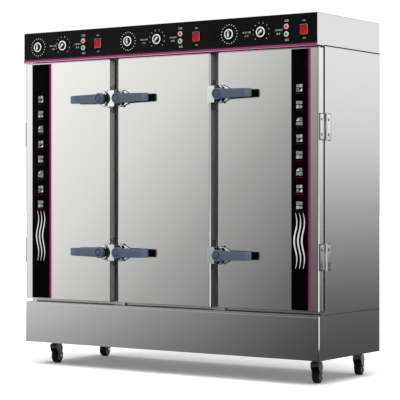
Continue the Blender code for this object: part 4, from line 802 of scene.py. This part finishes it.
def makeStrip(door):
    low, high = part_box("door_strip_" + door)
    sheenLeft, bead = high.x, strip["bead"][door]
    beadLeft = sheenLeft - bead
    filmRight = beadLeft - strip["border"]
    place = frontPlace(0, doorFrontY, 0)
    back, face = strip["filmDepth"]

    def film(bm):
        addBlock(bm, (low.x, low.z, back), (filmRight, high.z, face), place, 0, strip["filmEdge"])

    def edging(bm):
        # the plum band left of the bead is painted shade of the bead's left side, and the pink strip right of
        # the bead is a painted reflection of the bead in the door
        addBlock(bm, (filmRight, low.z, back), (beadLeft, high.z, face), place, 1)
        sheenRight = sheenLeft + strip["foil"][door]
        sheenBack, sheenFace = strip["foilDepth"]
        addBlock(bm, (sheenLeft, low.z, sheenBack), (sheenRight, high.z, sheenFace), place, 2)
        rings = []
        foot, side, count = strip["beadFoot"], strip["beadSide"], stripCounts["beadSteps"]
        for z in (low.z, high.z):
            ring = [Vector((beadLeft, doorFrontY - foot, z))]
            for step in range(count + 1):
                angle = math.pi * step / count
                proud = side + (strip["beadProud"] - side) * math.sin(angle)
                ring.append(Vector((beadLeft + bead * (1 - math.cos(angle)) / 2, doorFrontY - proud, z)))
            ring.append(Vector((sheenLeft, doorFrontY - foot, z)))
            rings.append(ring)
        addLoft(bm, rings)

    def marks(bm):
        centre = (low.x + beadLeft) / 2 + strip["markShift"]
        front = face + strip["ink"]
        for group in range(stripCounts["groups"]):
            addGroup(bm, centre, strip["firstZ"] - group * strip["pitch"], group, place, front)
        for wave in range(stripCounts["waves"]):
            offset = wave - (stripCounts["waves"] - 1) / 2
            addWave(bm, centre + offset * strip["wavePitch"], place, front)

    body = "door_" + door
    makePiece("stripFilm_" + door, film, (blackFilm,), body,
              replaced=("door_strip_" + door,))
    makePiece("stripEdging_" + door, edging, (magentaVinyl, paintedPlumShade, paintedPinkSheen), body)
    makePiece("stripMarks_" + door, marks, (whiteInk, redInk), body, smooth=False)


for side in sides:
    makeStrip(side)
print("strips made")

knob = inMm({
    "radius": 27.5, "ring": (26.2, 20.0), "front": 8, "recess": 4.5, "boss": 15.6, "bossFront": 11.5,
    "gripHalf": 4.6, "gripFront": 14, "gripReach": 14, "gripCorner": 1.6, "line": ((-0.9, -3), (0.9, 12.04)),
    "lineDepth": (-0.4, 0.15),
})
pointsTo = {"timer": 90, "heat": 225}  # where the pointer stands at rest, in degrees
# the grip's cross sections: share of its length, share of its width, mm below its front
gripShares = ((-1.0, 0.5, 2.5), (-0.97, 0.8, 1.0), (-0.86, 1.0, 0.2), (0.0, 1.0, 0.0),
              (0.86, 0.86, 0.2), (0.97, 0.6, 1.0), (1.0, 0.3, 2.5))
dial = inMm({
    "radius": 48, "dotRadius": 2.6, "digitSize": 10, "signStart": {"timer": (82, -2), "heat": (79, -1)},
    "sign": (9.5, 8.5), "signPitch": 12.8, "rowPitch": 18,
})
dialCounts = {"dots": 20, "digits": 10, "sweep": 270}
dialSigns = {"timer": (5, 0, 3, 4), "heat": (3, 5, 4, 0)}


def addKnob(bm, place, pointer):
    r, (outer, inner), front = knob["radius"], knob["ring"], knob["front"]
    recess, boss, bossFront = knob["recess"], knob["boss"], knob["bossFront"]
    profile = stepsFrom(0, 0, ((0, 0.5, 1),)) + stepsFrom(r, 0, ((0, 0.5, 1), (0, 2.4, 1), (-0.4, 3.4, 1)))
    profile += stepsFrom(outer, front, ((0, -2.4, 1), (0, -1.2, 0), (-1, 0, 0)))
    profile += stepsFrom(inner, front, ((0.8, 0, 0), (0, -0.8, 0)))
    profile += stepsFrom(inner, recess, ((-0.3, 0, 1),)) + stepsFrom(boss, recess, ((0.3, 0, 1),))
    profile += stepsFrom(boss, bossFront, ((0, -1.6, 1), (-1.2, -0.3, 1))) + [(0, bossFront, 1)]
    addTurned(bm, profile, place, 48)
    turned = place @ Matrix.Rotation(math.radians(pointer - 90), 4, "Z")
    rings = []
    for along, wide, drop in gripShares:
        half = knob["gripHalf"] * wide
        top, corner = knob["gripFront"] - drop * mm, min(knob["gripCorner"], half * 0.9)
        ring = roundedRing(half, recess, top, corner, 3)
        rings.append([turned @ Vector((x, along * knob["gripReach"], z)) for x, z in ring])
    addLoft(bm, rings)
    low, high = knob["line"]
    back, face = (knob["gripFront"] + depth for depth in knob["lineDepth"])
    addBlock(bm, (*low, back), (*high, face), turned, 1)


def addDial(bm, kind, place):
    # dots round the timer, numbers round the heat knob, and a few plain signs beside each
    front, radius = signLook["proud"], dial["radius"]
    if kind == "timer":
        for dot in range(dialCounts["dots"]):
            angle = math.tau * dot / dialCounts["dots"]
            centre = (radius * math.cos(angle), radius * math.sin(angle))
            points = arcPoints(dial["dotRadius"], 0, 330, 11, centre)
            bm.faces.new([bm.verts.new(place @ Vector((x, y, front))) for x, y in points])
    else:
        for digit in range(dialCounts["digits"]):
            angle = math.radians(pointsTo[kind] - dialCounts["sweep"] * digit / (dialCounts["digits"] - 1))
            spot = Vector((math.cos(angle), math.sin(angle), 0)) * radius + Vector((0, 0, front))
            addWords(bm, str(digit), dial["digitSize"], place @ Matrix.Translation(spot))
    left, up = dial["signStart"][kind]
    kinds = dialSigns[kind]
    for number, sign in enumerate(kinds):
        x = left + number * dial["signPitch"]
        addSign(bm, sign, (x, up), dial["sign"], place, front, 1)
        if number in (1, 2):
            addSign(bm, kinds[3 - number], (x, up - dial["rowPitch"]), dial["sign"], place, front, 1)


def makeKnob(kind, door):
    name = kind + "_" + door
    place = frontPlace(*jointAt[kind + "_knob_" + door + "_turn"])
    makePiece("dialKnob_" + name, lambda bm: addKnob(bm, place, pointsTo[kind]), (whiteEnamel, blackNylonAndShade),
              kind + "_knob_" + door, replaced=("knob_" + name,))
    makePiece("dialScale_" + name, lambda bm: addDial(bm, kind, place), (whiteInk, greyInk), "cabinet",
              smooth=False)


lamp = inMm({"aside": 102, "radius": 13.2, "rise": 19, "rimWidth": 6.6, "rimFront": 4.2, "dome": 5.6,
             "sign": (10, 10), "signAt": ((-11, 43), (2, 43), (-8, -53), (4, -53))})
lampSigns = (1, 2, 4, 1)
rocker = inMm({"halfX": 19.5, "halfZ": 22.5, "wall": 2.4, "front": 4.2, "corner": 1.5,
               "onUp": 43, "offUp": -45, "offAside": 1, "onSize": 11, "offSize": 10})


def makeLamps(door):
    x = jointAt["power_rocker_" + door + "_tilt"].x - lamp["aside"]
    for way, kind, ringFinish, lens in ((1, "red", ringRed, lensRed), (-1, "green", ringGreen, lensGreen)):
        place = frontPlace(x, panelFrontY, controlZ + way * lamp["rise"])

        def draw(bm, place=place):
            r, front, dome = lamp["radius"], lamp["rimFront"], lamp["dome"]
            well = r - lamp["rimWidth"]
            profile = stepsFrom(0, 0, ((0, 0.2, 0),)) + stepsFrom(r, 0, ((0.4, 0.2, 0), (0.4, 2.6, 0)))
            profile += stepsFrom(r, front, ((-0.4, -0.5, 0), (-1.2, 0, 0)))
            profile += stepsFrom(well, front, ((0, 0.8, 0), (-0.3, -0.2, 1)))
            profile += stepsFrom(well * 0.7, 0, ((0, 4.6, 1),)) + [(well * 0.35, dome, 1)]
            profile += stepsFrom(0, dome, ((0, 0.2, 1),))
            addTurned(bm, profile, place, 32)

        makePiece("lamp_" + kind + "_" + door, draw, (ringFinish, lens), "cabinet")

    def signs(bm):
        place = frontPlace(x, panelFrontY, controlZ)
        for corner, kind in zip(lamp["signAt"], lampSigns):
            addSign(bm, kind, corner, lamp["sign"], place, signLook["proud"], 0)

    makePiece("lampSigns_" + door, signs, (greyInk,), "cabinet", smooth=False)


def makeRockerBezel(door):
    place = frontPlace(jointAt["power_rocker_" + door + "_tilt"].x, panelFrontY, controlZ)

    def draw(bm):
        wall, front = rocker["wall"], rocker["front"]
        rings = []
        for grow, z in ((wall, 0.2 * mm), (wall, 2.6 * mm), (wall - 1.2 * mm, front),
                        (0.8 * mm, front), (0.0, 3.0 * mm), (0.0, 0.2 * mm)):
            halfX, halfZ = rocker["halfX"] + grow, rocker["halfZ"] + grow
            ring = roundedRing(halfX, -halfZ, halfZ, rocker["corner"] + grow * 0.4, 3)
            rings.append([place @ Vector((x, y, z)) for x, y in ring])
        rings.append(rings[0])
        addLoft(bm, rings, capped=False)
        bmesh.ops.remove_doubles(bm, verts=bm.verts, dist=0.01 * mm)

    # the bezel's light grey is a painted highlight for the glint on its outer edges
    makePiece("rockerBezel_" + door, draw, (bezelGlintGrey,), "cabinet")

    def labels(bm):
        front = signLook["proud"]
        addWords(bm, "ON", rocker["onSize"], place @ Matrix.Translation((0, rocker["onUp"], front)))
        spot = place @ Matrix.Translation((rocker["offAside"], rocker["offUp"], front))
        addWords(bm, "OFF", rocker["offSize"], spot)

    makePiece("rockerLabels_" + door, labels, (greyInk,), "cabinet", smooth=False)


for door in doorNames:
    for kind in ("timer", "heat"):
        makeKnob(kind, door)
    makeRockerBezel(door)
    makeLamps(door)
print("controls made")

hinge = inMm({
    "barrel": 5.4, "knuckleGap": 0.5, "faceInset": 3.7, "rows": (-38, 37), "washer": 7.4, "head": 3.2,
    "padEnd": 0.5, "padDepth": (0.05, 0.6), "leafEnd": 4, "leafDepth": (0.3, 1.1), "leafEdge": 0.5,
    "doorLeaf": (6.5, 46), "doorPad": (1.2, 48), "doorScrew": 23,
    "bodyLeaf": (69, 112), "bodyPad": (69, 114), "bodyScrew": 91,
})


def addHingeScrew(bm, place):
    # steel head in a cup washer
    w, h = hinge["washer"], hinge["head"]
    cup = stepsFrom(0, 0, ((0, -0.4, 2),)) + stepsFrom(w, 0, ((0, -0.4, 2), (0, 0.6, 2), (-1.2, 1.4, 2)))
    cup += stepsFrom(h, 0, ((1.2, 1.4, 2), (0.2, 0.6, 2)))
    addTurned(bm, cup, place, 24)
    head = stepsFrom(h, 0, ((0.2, 0.6, 1), (0, 1.5, 1)))
    head += stepsFrom(h * 0.6, 0, ((0, 2.3, 1),)) + stepsFrom(0, 0, ((0, 2.6, 1),))
    addTurned(bm, head, place, 24)


def makeHingeDetails(side, level):
    name = side + "_" + level
    low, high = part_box("hinge_leaf_" + name)
    way = 1 if side == "right" else -1
    middleZ, half = (low.z + high.z) / 2, (high.z - low.z) / 2
    knuckle, gap = half / 3, hinge["knuckleGap"]
    axis = jointAt["door_" + side + "_swing"]
    faceX = way * (abs(axis.x) - hinge["faceInset"])

    def addBarrel(bm, start, end):
        profile = stepsFrom(hinge["barrel"], start, ((-2.2, 0, 1), (-0.6, 0, 1), (0, 0.6, 1)))
        profile += stepsFrom(hinge["barrel"], end, ((0, -0.6, 1), (-0.6, 0, 1), (-2.2, 0, 1)))
        addTurned(bm, profile, Matrix.Translation((axis.x, axis.y, middleZ)), 20)

    def addLeaf(bm, leaf, shadePad, along):
        # polished leaf on a black pad, which is painted shade along the leaf's edges; local y runs from the
        # door's front to the back, and local x runs down on the right side and up on the left
        place = sidePlace(faceX, doorFrontY, middleZ, way)
        back, front = hinge["padDepth"]
        end = half - hinge["padEnd"]
        addBlock(bm, (-end, shadePad[0], back), (end, shadePad[1], front), place, 0)
        back, front = hinge["leafDepth"]
        end = half - hinge["leafEnd"]
        addBlock(bm, (-end, leaf[0], back), (end, leaf[1], front), place, 1, hinge["leafEdge"])
        for row in hinge["rows"]:
            addHingeScrew(bm, place @ Matrix.Translation((-way * row, along, front)))

    def bodySide(bm):
        addBarrel(bm, -half, -knuckle - gap)
        addBarrel(bm, knuckle + gap, half)
        addLeaf(bm, hinge["bodyLeaf"], hinge["bodyPad"], hinge["bodyScrew"])

    def doorSide(bm):
        addBarrel(bm, -knuckle + gap, knuckle - gap)
        addLeaf(bm, hinge["doorLeaf"], hinge["doorPad"], hinge["doorScrew"])

    finishes = (blackSiliconeAndShade, polishedStainless, blackenedSteel)
    makePiece("hingeBody_" + name, bodySide, finishes, "cabinet")
    makePiece("hingeDoor_" + name, doorSide, finishes, "door_" + side)


for side in sides:
    for level in levels:
        makeHingeDetails(side, level)
print("hinges made")

caster = inMm({
    "wheelRadius": 41.5, "half": 19, "rim": 28.5, "hub": 12, "bore": 5.2, "cheek": 22.5,
    "washer": ((0, 0.1), (8, 0.1), (8, 1.2), (0, 1.2)),
    "nutRadius": 8, "nutDepth": (1.0, 4.6), "nutEdge": 0.5,
    "cup": ((0, -9), (26, -9), (26.6, -8), (26.6, -6.6), (25.2, -5.6), (25.2, -1.2), (26.2, -0.6),
            (26.2, -0.2), (0, -0.2)),
    "plateBolt": 30, "plateSunk": 0.2, "boltRadius": 5, "boltDepth": (-0.1, 3.4), "boltEdge": 0.4,
})
casterTurn = Matrix.Rotation(math.radians(12.4), 4, "Z")  # the way the casters stand at rest


def makeWheel(name):
    centre = jointAt["caster_" + name + "_roll"]
    place = Matrix.Translation(centre) @ casterTurn @ Matrix.Rotation(math.pi / 2, 4, "Y")

    def draw(bm):
        half = caster["half"]
        shape = stepsFrom(caster["bore"], half, ((0, -0.6, 1),))
        shape += stepsFrom(caster["hub"], half, ((-1, -0.6, 1), (0, -1.6, 1), (0.8, -6, 1)))
        shape += stepsFrom(caster["rim"], half, ((-3, -6.5, 1), (-1.6, -2.5, 1), (0, -2, 1),
                                                 (0.6, -0.8, 0), (4, -0.1, 0)))
        shape += stepsFrom(caster["wheelRadius"], half, ((-4, -1.6, 0), (-1.2, -4.4, 0), (-0.2, -8, 0),
                                                         (-0.05, -13, 0)))
        mirrored = [(radius, -height, slot) for radius, height, slot in reversed(shape)]
        addTurned(bm, shape + mirrored + shape[:1], place, 40)
        bmesh.ops.remove_doubles(bm, verts=bm.verts, dist=0.01 * mm)

    makePiece("wheelTyre_" + name, draw, (tyreRubber, hubPlastic), "wheel_" + name,
              replaced=("caster_wheel_" + name,))


def makeForkDetails(name):
    centre = jointAt["caster_" + name + "_roll"]
    swivel = jointAt["caster_" + name + "_swivel"]

    def bolts(bm):
        washer = [(radius, height, 0) for radius, height in caster["washer"]]
        for way in (-1, 1):
            place = Matrix.Translation(centre) @ casterTurn @ sidePlace(way * caster["cheek"], 0, 0, way)
            addTurned(bm, washer, place, 24)
            addPlate(bm, hexagon(caster["nutRadius"]), place, *caster["nutDepth"], 0, caster["nutEdge"])
        cup = [(radius, height, 0) for radius, height in caster["cup"]]
        addTurned(bm, cup, Matrix.Translation(swivel), 32)

    makePiece("casterBolts_" + name, bolts, (brightChrome,), "caster_" + name)

    def plate(bm):
        reach = caster["plateBolt"]
        for dx in (-reach, reach):
            for dy in (-reach, reach):
                spot = Matrix.Translation(swivel + Vector((dx, dy, caster["plateSunk"])))
                flip = spot @ Matrix.Rotation(math.pi, 4, "X")
                addPlate(bm, hexagon(caster["boltRadius"]), flip, *caster["boltDepth"], 0, caster["boltEdge"])

    makePiece("casterPlateBolts_" + name, plate, (zincSteel,), "cabinet")


for name in casterNames:
    makeWheel(name)
    makeForkDetails(name)
print("casters made")

back = inMm({
    "columns": (-550, 0, 550), "louvreZ": 1450, "louvrePitch": 16, "louvreHalf": 110, "seat": 0.05,
    "louvre": ((0, 0), (4, 3.2), (8, 4.2), (9.5, 3.2), (10, 0)),
    "coverZ": 860, "cover": (170, 240), "coverDepth": (0.1, 1.6), "coverEdge": 0.8,
    "coverScrews": (155, 225), "coverFace": 1.5, "screwRadius": 4, "screwHeight": 1.8,
    "edgeInset": 30, "rowZ": (400, 1660, 1735, 1820),
    "fittingRise": 70, "nutGrow": 5, "nutDepth": (0.1, 7), "nutEdge": 0.8,
})
louvreRows, louvreSteps = 9, 12
# inlet, cable gland and drain: distance from the right side and radius in mm, finish
fittings = ((110, 10, yellowBrass), (200, 12, blackNylonAndShade), (290, 16, yellowBrass))


def backLouvres(bm):
    for x in back["columns"]:
        for row in range(louvreRows):
            place = backPlace(x, backY, back["louvreZ"] + row * back["louvrePitch"])
            rings = []
            for step in range(louvreSteps + 1):
                share = step / louvreSteps
                rise = math.sin(math.pi * min(max(share, 0.03), 0.97)) ** 0.4
                along = -back["louvreHalf"] + 2 * back["louvreHalf"] * share
                rings.append([
                    place @ Vector((along, y * rise, h * rise + back["seat"])) for y, h in back["louvre"]])
            addLoft(bm, rings)


def backCovers(bm):
    halfX, halfZ = back["cover"]
    low, high = back["coverDepth"]
    for x in back["columns"]:
        place = backPlace(x, backY, back["coverZ"])
        addBlock(bm, (-halfX, -halfZ, low), (halfX, halfZ, high), place, 0, back["coverEdge"])


def backScrews(bm):
    spanX, spanZ = back["coverScrews"]
    spots = []
    for x in back["columns"]:
        for dx in (-spanX, spanX):
            for dz in (-spanZ, 0, spanZ):
                spots.append((x + dx, backY + back["coverFace"], back["coverZ"] + dz))
    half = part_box("outer_casing")[1].x
    edge = half - back["edgeInset"]
    spots += [(x, backY, z) for x in (-edge, -half / 2, 0, half / 2, edge) for z in back["rowZ"]]
    for spot in spots:
        addScrew(bm, backPlace(*spot), back["screwRadius"], back["screwHeight"])


def makeFitting(number, aside, radius, finish):
    low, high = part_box("outer_casing")
    place = backPlace(high.x - aside, backY, low.z + back["fittingRise"])

    def draw(bm):
        addPlate(bm, hexagon(radius + back["nutGrow"]), place, *back["nutDepth"], 0, back["nutEdge"])
        profile = stepsFrom(0, 0, ((0, 6, 0),)) + stepsFrom(radius, 0, ((0.4, 6, 0),))
        for turn in range(6):
            profile += stepsFrom(radius, 0, ((0.9, 7.2 + turn * 2, 0), (0.3, 8.2 + turn * 2, 0)))
        profile += stepsFrom(radius, 0, ((0.4, 19.7, 0), (-2.5, 19.8, 0))) + stepsFrom(0, 0, ((0, 19.7, 0),))
        addTurned(bm, profile, place, 28)

    makePiece("rearFitting_" + str(number), draw, (finish,), "cabinet")


makePiece("backLouvres", backLouvres, (brushedStainless,), "cabinet")
makePiece("backCovers", backCovers, (brushedStainless,), "cabinet")
makePiece("backScrews", backScrews, (zincSteel,), "cabinet")
for number, (aside, radius, finish) in enumerate(fittings, 1):
    makeFitting(number, aside * mm, radius * mm, finish)
print("back made")

# Studio: a floor, two soft suns, and cards that only the steel reflects
studio = {
    "sky": 0.30, "floorGrey": 0.90, "floorShown": 1.32, "floorLift": 0.045, "floorHalf": 60,
    "suns": ((64, 36, 2.5, 62), (50, -50, 0.4, 70)),  # elevation, azimuth, strength and spread in degrees
}
scene = bpy.context.scene
scene.view_settings.view_transform = "Standard"


def seenRays(tree):
    # 1 for rays from the camera, mirrors and glass, 0 for the others
    ray = addNode(tree, "LightPath")
    seen = addNode(tree, "Math", {"operation": "ADD"}, {
        0: ray.outputs["Is Camera Ray"], 1: ray.outputs["Is Glossy Ray"]})
    seen = addNode(tree, "Math", {"operation": "ADD", "use_clamp": True}, {
        0: seen.outputs[0], 1: ray.outputs["Is Transmission Ray"]})
    return seen.outputs[0]


world = bpy.data.worlds.new("studioWorld")
scene.world = world
world.use_nodes = True
tree = world.node_tree
tree.nodes.clear()
strength = addNode(tree, "MapRange", inputs={"Value": seenRays(tree), "To Min": studio["sky"], "To Max": 1.0})
sky = addNode(tree, "Background", inputs={"Color": (1, 1, 1, 1), "Strength": strength.outputs[0]})
addNode(tree, "OutputWorld", inputs={"Surface": sky.outputs[0]})


def emptyFinish(name):
    finish = bpy.data.materials.new(name)
    finish.use_nodes = True
    finish.node_tree.nodes.clear()
    return finish, finish.node_tree


def addStage(name, corners, finish):
    mesh = bpy.data.meshes.new(name)
    mesh.from_pydata([tuple(corner) for corner in corners], [], [(0, 1, 2, 3)])
    mesh.materials.append(finish)
    thing = bpy.data.objects.new(name, mesh)
    scene.collection.objects.link(thing)
    return thing


def flatSheet(low, high, z):
    return [(low[0], low[1], z), (high[0], low[1], z), (high[0], high[1], z), (low[0], high[1], z)]


def uprightSheet(start, end, top):
    # corners of a sheet that stands on a line of the floor
    return [(*start, 0), (*end, 0), (*end, top), (*start, top)]


# Painted floor: its own colour lit by the lamps, shown a little brighter to the camera and the steel
floorPaint, tree = emptyFinish("floorPaint")
seen = seenRays(tree)
lift = addNode(tree, "Math", {"operation": "MULTIPLY"}, {0: seen, 1: studio["floorLift"]})
grey = addNode(tree, "MapRange", inputs={
    "Value": seen, "To Min": studio["floorGrey"], "To Max": studio["floorShown"]})
paint = addNode(tree, "BsdfDiffuse", inputs={"Color": grey.outputs[0]})
glow = addNode(tree, "Emission", inputs={"Color": (1, 1, 1, 1), "Strength": lift.outputs[0]})
both = addNode(tree, "AddShader", inputs={0: paint.outputs[0], 1: glow.outputs[0]})
addNode(tree, "OutputMaterial", inputs={"Surface": both.outputs[0]})
floorHalf = studio["floorHalf"]
addStage("studioFloor", flatSheet((-floorHalf, -floorHalf), (floorHalf, floorHalf), 0), floorPaint)


def addCard(name, corners, direction, offset, stops, strength):
    # printed gradient card that only reflections see; the gradient runs along a direction in metres
    finish, tree = emptyFinish(name + "Print")
    place = addNode(tree, "TexCoord").outputs["Object"]
    along = addNode(tree, "VectorMath", {"operation": "DOT_PRODUCT"}, {0: place, 1: direction})
    share = addNode(tree, "Math", {"operation": "ADD"}, {0: along.outputs["Value"], 1: offset})
    greys = [(at, (value, value, value, 1)) for at, value in stops]
    tone = addNode(tree, "ValToRGB", {"stops": greys}, {"Fac": share.outputs[0]})
    glow = addNode(tree, "Emission", inputs={"Color": tone.outputs[0], "Strength": strength})
    addNode(tree, "OutputMaterial", inputs={"Surface": glow.outputs[0]})
    card = addStage(name, corners, finish)
    for ray in ("camera", "diffuse", "transmission", "volume_scatter", "shadow"):
        setattr(card, "visible_" + ray, False)
    finish.cycles.emission_sampling = "NONE"


camera = {"x": 4.8204, "distance": 6.692, "z": 0.960, "turn": 34.408, "lens": 140.53, "shiftY": -0.0167}
# The doors darken from their upper left to the skirt's lower right: tone 60 to 600 at a point (x, z) of them.
# The card stands before the doors, so each tone's place on it is worked out from the camera's place.
frontTone = {"base": 467.0, "perX": 153.5, "perZ": -151.7, "full": 600}
frontStops = ((60, 0.98), (113, 0.95), (250, 0.76), (320, 0.58), (385, 0.40), (450, 0.27),
              (503, 0.165), (560, 0.10), (600, 0.06))
frontCard = {"before": 2.0, "top": 2.7, "spans": ((-9, -0.34, 1.45), (-0.34, 2.8, 1.247))}
share = frontCard["before"] / camera["distance"]
slopeX, slopeZ = frontTone["perX"] / (1 + share), frontTone["perZ"] / (1 + share)
base = frontTone["base"] + share * (slopeX * camera["x"] + slopeZ * camera["z"])
full = frontTone["full"]
cardY = doorFrontY - frontCard["before"]
for name, (left, right, strength) in zip(("cardFront", "cardFrontEdge"), frontCard["spans"]):
    addCard(name, uprightSheet((left, cardY), (right, cardY), frontCard["top"]),
            (slopeX / full, 0, slopeZ / full), base / full,
            [(tone / full, value) for tone, value in frontStops], strength)

# cards lying on the floor, which the skirt and the side's foot reflect
floorStops = ((-1.2, 0.62), (-0.9, 0.58), (-0.5, 0.42), (0.0, 0.26), (0.4, 0.17), (0.7, 0.10),
              (0.95, 0.06), (1.2, 0.05))
floorTone = {"base": 0.732, "perX": 0.848, "perY": -0.615, "startY": 1.2, "lowest": -2, "span": 4}
floorCard = {"left": -9, "right": 2.8, "gap": 0.03, "z": 0.001}
lowest, span = floorTone["lowest"], floorTone["span"]
start = floorTone["base"] - floorTone["perY"] * (doorFrontY - floorTone["startY"])
low, high = (floorCard["left"], cardY), (floorCard["right"], doorFrontY - floorCard["gap"])
addCard("cardFloorFront", flatSheet(low, high, floorCard["z"]),
        (floorTone["perX"] / span, floorTone["perY"] / span, 0), (start - lowest) / span,
        [((tone - lowest) / span, value) for tone, value in floorStops], 1.0)
besideCard = {"near": 0.99, "far": 1.5, "front": -0.3, "rear": 3.0, "z": 0.002, "slope": 0.25, "start": 0.2}
besideStops = ((0.0, 0.07), (0.5, 0.09))
for name, way in (("cardFloorRight", 1), ("cardFloorLeft", -1)):
    low, high = (way * besideCard["near"], besideCard["front"]), (way * besideCard["far"], besideCard["rear"])
    addCard(name, flatSheet(low, high, besideCard["z"]), (0, besideCard["slope"], 0), besideCard["start"],
            besideStops, 1.0)

# upright cards beside and behind the cabinet, lighter towards their tops
sideStops = ((0.00, 0.09), (0.14, 0.13), (0.26, 0.24), (0.42, 0.45), (0.62, 0.80), (0.85, 0.98))
sideCard = {"x": 1.5, "front": -0.1, "rear": 3.0, "top": 2.4, "slope": 0.5, "strength": 1.35}
for name, way in (("cardRight", 1), ("cardLeft", -1)):
    x = way * sideCard["x"]
    addCard(name, uprightSheet((x, sideCard["front"]), (x, sideCard["rear"]), sideCard["top"]),
            (0, 0, sideCard["slope"]), 0.0, sideStops, sideCard["strength"])
backStops = ((0.0, 0.30), (0.25, 0.45), (0.6, 0.85), (1.0, 1.0))
backCard = {"half": 5, "y": 2.4, "top": 4.0, "slope": 0.25}
half, y = backCard["half"], backCard["y"]
addCard("cardBack", uprightSheet((-half, y), (half, y), backCard["top"]),
        (0, 0, backCard["slope"]), 0.0, backStops, 1.0)

for number, (elevation, azimuth, strength, spread) in enumerate(studio["suns"]):
    sun = bpy.data.lights.new("softLight" + str(number + 1), "SUN")
    sun.energy = strength
    sun.angle = math.radians(spread)
    holder = bpy.data.objects.new(sun.name, sun)
    holder.rotation_euler = (math.radians(90 - elevation), 0, math.radians(azimuth))
    holder.visible_glossy = False
    scene.collection.objects.link(holder)

lens = bpy.data.cameras.new("viewCamera")
lens.lens = camera["lens"]
lens.sensor_width = 36
lens.shift_y = camera["shiftY"]
viewer = bpy.data.objects.new("viewCamera", lens)
viewer.location = (camera["x"], doorFrontY - camera["distance"], camera["z"])
viewer.rotation_euler = (math.radians(90), 0, math.radians(camera["turn"]))
scene.collection.objects.link(viewer)
scene.camera = viewer
print("studio set")
